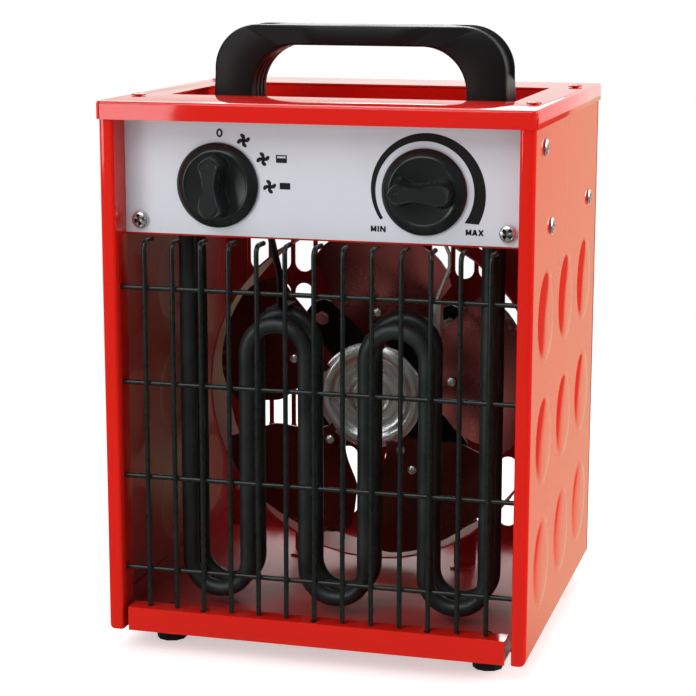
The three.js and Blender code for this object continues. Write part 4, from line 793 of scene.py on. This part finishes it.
def make_fan(materials):
    shape = bmesh.new()
    half = FAN["sheet"] / 2
    matrix = placed()
    angles = [FAN["angle"] + blade * 360 / FAN["blades"] for blade in range(FAN["blades"])]
    across = [k / BLADE_COLUMNS for k in range(BLADE_COLUMNS + 1)]
    for angle in angles:
        loft(shape, [[blade_point(angle, i / BLADE_ROWS, v, -half) for v in across]
                     + [blade_point(angle, i / BLADE_ROWS, v, half) for v in across[::-1]]
                     for i in range(BLADE_ROWS + 1)], matrix)
    # the blades take the aluminium darkened and reddened as painted shade and painted reflection
    finish_piece("fan_blades", shape, materials["painted_shade_fan_blade"], "fan_rotor", ["fan"], 34.0)
    shape = bmesh.new()
    for a in (math.radians(angle) for angle in angles):
        for reach in RIVETS:
            x, z = reach * math.cos(a), FAN["z"] + reach * math.sin(a)
            revolve(shape, RIVET, 20, placed(x, FAN["y"] - RIVET_FRONT, z, "front"))
    hub = placed(0, FAN["y"], FAN["z"], "back")
    revolve(shape, HUB, 96, hub)
    revolve(shape, SHAFT, 24, hub)
    finish_piece("fan_hub", shape, materials["fan_aluminium"], "fan_rotor", smooth=34.0)


# ------------------------------------------------------------------ pressed side panels

SIDE = {"front": 1.3, "back": 189.4, "post": 97.4, "return": 16.3, "rear": 92.7, "bend": 1.8, "sheet": 1.0}
PRESSING = {"y": 96.0, "z": 101.0, "step_y": 57.0, "step_z": 60.2, "radius": 22.0, "rise": 1.4,
            "flatness": 3.4, "rim": 8.0}
WALL_STEPS = 140

# the flange under the cover and the one over the base, as x0, x1, y0, y1, z0, z1
SIDE_FLANGES = [(CASE["half"] - 14.5, CASE["half"] - 0.5, 2.3, 188.1, CASE["top"] - 1, CASE["top"]),
                (CASE["half"] - 8, CASE["half"] - 1.5, 17.3, 188.1, 0.0, 1.0)]


def bulge(y, z):
    """How far the round pressings stand out at a point of the side."""
    p = PRESSING
    out = 0.0
    for row in (-1, 0, 1):
        for column in (-1, 0, 1):
            aside, above = y - p["y"] - p["step_y"] * column, z - p["z"] - p["step_z"] * row
            r = math.hypot(aside, above) / p["radius"]
            if r < 1:
                out = max(out, p["rise"] * (1 - r ** p["flatness"]) * ease((1 - r) * p["rim"]))
    return out


def side_section():
    """The folded sheet in x and y: (outer point, its inward direction, whether it is the broad wall)."""
    s = SIDE
    b = s["bend"]
    half = CASE["half"]

    def corner(cx, cy, start, end, steps=6):
        directions = [(math.cos(a), math.sin(a)) for a in
                      (math.radians(start + (end - start) * i / steps) for i in range(steps + 1))]
        return [((cx + b * dx, cy + b * dy), (-dx, -dy), False) for dx, dy in directions]
    points = [((s["post"], y), (1, 0), False) for y in (s["return"], s["return"] - 6)]
    points += corner(s["post"] + b, s["front"] + b, 180, 270)
    points += corner(half - b, s["front"] + b, 270, 360)
    first, last = s["front"] + b + 1.0, s["back"] - b - 1.0
    wall = [first + k * (last - first) / WALL_STEPS for k in range(WALL_STEPS + 1)]
    points += [((half, y), (-1, 0), True) for y in wall]
    points += corner(half - b, s["back"] - b, 0, 90)
    return points + [((s["rear"], s["back"]), (0, -1), False)]


def make_side(side, name, material):
    """One folded side with its lower corners rounded off, its round pressings and its two flanges."""
    matrix = placed() @ Matrix.Scale(side, 4, (1, 0, 0))
    shape = bmesh.new()
    section = side_section()
    half, corner = CASE["half"], CASE["corner"]
    levels = [0.0, 0.3, 0.8, 1.4, 2.2, 3.0] + [5.0 + 1.3 * k for k in range(196)] + [CASE["top"]]
    rings = []
    for z in levels:
        limit = half
        if z < corner:
            limit = half - corner + math.sqrt(corner ** 2 - (corner - z) ** 2)
        outer, inner = [], []
        for (x, y), (nx, ny), wall in section:
            x = min(x, limit) + (bulge(y, z) if wall else 0.0)
            outer.append((x, y, z))
            inner.append((min(x + nx * SIDE["sheet"], limit + 1.0), y + ny * SIDE["sheet"], z))
        rings.append(outer + inner[::-1])
    loft(shape, rings, matrix)
    for flange in SIDE_FLANGES:
        brick(shape, *flange, matrix)
    finish_piece(f"side_skin_{name}", shape, material, "case", [f"side_panel_{name}"], 30.0)


# ------------------------------------------------------------------ slotted rear panel

REAR = {"back": 190.7, "sheet": 1.0}
SLOT = {"w": 10.7, "h": 40.1, "pitch_x": 13.2, "pitch_z": 46.55, "first": 32.5, "columns": 14, "rows": 4,
        "free": 50.0}

# x, z and radius of the holes for the motor's studs, the screws and the cord's bush
REAR_HOLES = [(side * 35.3, FAN["z"] + rise * 34.0, 2.05) for side in (-1, 1) for rise in (-1, 1)]
REAR_HOLES += [(side * x, z, 1.7) for side in (-1, 1) for x, _, z in SCREWS["rear"]["places"]]
REAR_HOLES += [(-60.0, 222.0, 6.05)]


def slot_is_open(x, row):
    """No slots round the motor, and only some in the top row."""
    if row in (1, 2):
        return abs(x) > SLOT["free"]
    if row < SLOT["rows"] - 1:
        return True
    return x < -3 * SLOT["pitch_x"] or SLOT["pitch_x"] < x < 4 * SLOT["pitch_x"]


def slot_outline(x, z):
    r = SLOT["w"] / 2
    rise = SLOT["h"] / 2 - r
    return [(x + r * math.cos(math.pi * (end + i / 16)), z + shift + r * math.sin(math.pi * (end + i / 16)))
            for end, shift in ((0, rise), (1, -rise)) for i in range(17)]


def rear_outlines():
    """The sheet's edge with its two lower corners rounded, and all its openings."""
    half, top, corner = CASE["half"], CASE["top"], CASE["corner"]
    left, right = [[(side * (half - corner + corner * math.sin(a)), corner - corner * math.cos(a))
                    for a in (math.pi / 2 * k / 8 for k in range(9))] for side in (-1, 1)]
    outlines = [left[::-1] + right + [(half, top), (-half, top)]]
    for row in range(SLOT["rows"]):
        for column in range(SLOT["columns"]):
            x = (column - (SLOT["columns"] - 1) / 2) * SLOT["pitch_x"]
            if slot_is_open(x, row):
                outlines.append(slot_outline(x, SLOT["first"] + row * SLOT["pitch_z"]))
    for x, z, r in REAR_HOLES:
        outlines.append([(x + r * math.cos(a), z + r * math.sin(a)) for a in turns(32)])
    return outlines


def make_rear(material):
    """The rear sheet, drawn as a flat filled curve with holes and stood up as a mesh."""
    curve = bpy.data.curves.new("rear_outline", "CURVE")
    curve.dimensions = "2D"
    curve.fill_mode = "BOTH"
    curve.extrude = REAR["sheet"] / 2
    for outline in rear_outlines():
        spline = curve.splines.new("POLY")
        spline.points.add(len(outline) - 1)
        for point, (x, z) in zip(spline.points, outline):
            point.co = (x, z, 0, 1)
        spline.use_cyclic_u = True
    drawn = add_object("rear_outline", curve)
    flat = bpy.data.meshes.new_from_object(drawn)
    bpy.data.objects.remove(drawn)
    bpy.data.curves.remove(curve)
    shape = bmesh.new()
    shape.from_mesh(flat)
    bpy.data.meshes.remove(flat)
    for vert in shape.verts:
        vert.co = at(vert.co.x, REAR["back"] - REAR["sheet"] / 2 - vert.co.z, vert.co.y)
    finish_piece("rear_sheet", shape, material, "case", ["rear_panel"], 30.0)


# ------------------------------------------------------------------ printed marks of the control panel

INK_FRONT = PANEL_Y - 0.06
INK_BACK = PANEL_Y - 0.01
LETTER = {"height": 2.7, "weight": 0.8}
FAN_SIGN = 5.9
SIGN_LINE = 0.6

# strokes from (x, z) to (x, z), as shares of a letter's width and height
STROKES = {
    "M": [(0, 0, 0, 1), (0, 1, .5, .15), (.5, .15, 1, 1), (1, 1, 1, 0)],
    "I": [(.5, 0, .5, 1)],
    "N": [(0, 0, 0, 1), (0, 1, 1, 0), (1, 0, 1, 1)],
    "A": [(0, 0, .5, 1), (.5, 1, 1, 0), (.22, .3, .78, .3)],
    "X": [(0, 0, 1, 1), (0, 1, 1, 0)],
}

# one blade of the fan sign, as shares of the sign's size
SIGN_BLADE = [(0.04, -0.09), (0.22, -0.15), (0.42, -0.1), (0.54, 0.05), (0.55, 0.2), (0.46, 0.29),
              (0.34, 0.25), (0.22, 0.15), (0.07, 0.11)]


class Ink:
    """Flat printed shapes on the control panel, gathered into one mesh."""

    def __init__(self):
        self.mesh = bmesh.new()

    def ring(self, points):
        front = [self.mesh.verts.new(at(x, INK_FRONT, z)) for x, z in points]
        back = [self.mesh.verts.new(at(x, INK_BACK, z)) for x, z in points]
        count = len(points)
        self.mesh.faces.new(front)
        self.mesh.faces.new(back[::-1])
        for i in range(count):
            k = (i + 1) % count
            self.mesh.faces.new((front[k], front[i], back[i], back[k]))

    def box(self, left, right, low, high):
        self.ring([(left, low), (right, low), (right, high), (left, high)])

    def stroke(self, x0, z0, x1, z1, width):
        along = Vector((x1 - x0, z1 - z0)).normalized()
        across = Vector((-along.y, along.x)) * width / 2
        self.ring([(x0 - across.x, z0 - across.y), (x1 - across.x, z1 - across.y),
                   (x1 + across.x, z1 + across.y), (x0 + across.x, z0 + across.y)])

    def strip(self, inner, outer):
        """A strip between two lines of points."""
        for i in range(len(inner) - 1):
            self.ring([inner[i], inner[i + 1], outer[i + 1], outer[i]])

    def zero(self, x, z, half_width, half_height, weight):
        inner, outer = ([(x + (half_width - less) * math.sin(a), z + (half_height - less) * math.cos(a))
                         for a in turns(32) + [2 * math.pi]] for less in (weight, 0.0))
        self.strip(inner, outer)

    def dial(self, x, z, radius, thin, thick, start, end, tip, steps=96):
        """An arc that grows from thin to thick, clockwise from the top, with its thick end cut level."""
        inner, outer = [], []
        for i in range(steps + 1):
            turn = math.radians(start + (end - start) * i / steps)
            for line, r in ((inner, radius), (outer, radius + thin + (thick - thin) * i / steps)):
                line.append((x + r * math.sin(turn), z + r * math.cos(turn)))
        self.strip(inner, outer)
        turn = math.radians(tip)
        self.ring([inner[-1], (x + radius * math.sin(turn), z + radius * math.cos(turn)), outer[-1]])

    def word(self, text, x, z, advance):
        """A word in capitals, centred on (x, z)."""
        height, weight = LETTER["height"], LETTER["weight"]
        widths = [(0.25 if c == "I" else 0.72) * advance for c in text]
        gap = 0.34 * advance
        left = x - (sum(widths) + gap * (len(text) - 1)) / 2
        low = z - height / 2
        for c, width in zip(text, widths):
            for x0, z0, x1, z1 in STROKES[c]:
                self.stroke(left + x0 * width, low + z0 * height,
                            left + x1 * width, low + z1 * height, weight)
            left += width + gap

    def fan_sign(self, x, z):
        """The four curved blades of the fan sign round their hub."""
        size = FAN_SIGN
        self.ring([(x + 0.13 * size * math.cos(a), z + 0.13 * size * math.sin(a)) for a in turns(10)])
        for turn in turns(4):
            self.ring([(x + size * (u * math.cos(turn) - v * math.sin(turn)),
                        z + size * (u * math.sin(turn) + v * math.cos(turn))) for u, v in SIGN_BLADE])

    def heat_sign(self, x, z, width, height, filled):
        """The box of the heat sign, filled to the top or only halfway."""
        left, right = x - width / 2, x + width / 2
        low, high = z - height / 2, z + height / 2
        if filled:
            self.box(left, right, low, high)
            return
        middle = z + 0.1 * height
        self.box(left, right, low, middle)
        self.box(left, left + SIGN_LINE, middle, high)
        self.box(right - SIGN_LINE, right, middle, high)
        self.box(left + SIGN_LINE, right - SIGN_LINE, high - SIGN_LINE, high)


def make_marks(material):
    ink = Ink()
    ink.zero(-49.4, 245.8, 1.6, 2.1, 0.95)
    ink.fan_sign(-37.5, 242.5)
    ink.fan_sign(-27.9, 234.0)
    ink.heat_sign(-18.8, 234.3, 5.4, 3.7, False)
    ink.fan_sign(-24.7, 221.0)
    ink.heat_sign(-17.1, 221.5, 5.2, 3.1, True)
    ink.dial(KNOB_X, KNOB_Z, 23.5, 1.6, 5.95, -123, 119, 126)
    ink.word("MIN", 28.4, 203.0, 2.7)
    ink.word("MAX", 74.4, 202.9, 2.75)
    mesh = bpy.data.meshes.new("panel_marks")
    bmesh.ops.recalc_face_normals(ink.mesh, faces=ink.mesh.faces)
    ink.mesh.to_mesh(mesh)
    ink.mesh.free()
    mount("panel_marks", mesh, material, "case")


# ------------------------------------------------------------------ the scene

bpy.context.scene.view_settings.view_transform = "Standard"
make_camera()
make_world()
make_floor()
make_lamps()

materials = {name: varied(name, **finish) for name, finish in FINISHES.items()}
dress_nodes(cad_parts, materials)
make_marks(materials["print_black"])
make_screws(materials)
make_knob("switch_knob", "switch_dial", -KNOB_X, 0.0, materials["knob_black"])
make_knob("thermostat_knob", "thermostat_dial", KNOB_X, 90.0, materials["knob_black"])
make_handle(materials["handle_black"])
make_grille(materials["grille_wire"])
for node, (y, arch) in ELEMENTS.items():
    make_element(node, y, arch, materials["element_steel"])
make_fan(materials)
make_rear(materials["painted_red"])
make_side(1, "right", materials["painted_red"])
make_side(-1, "left", materials["painted_red"])
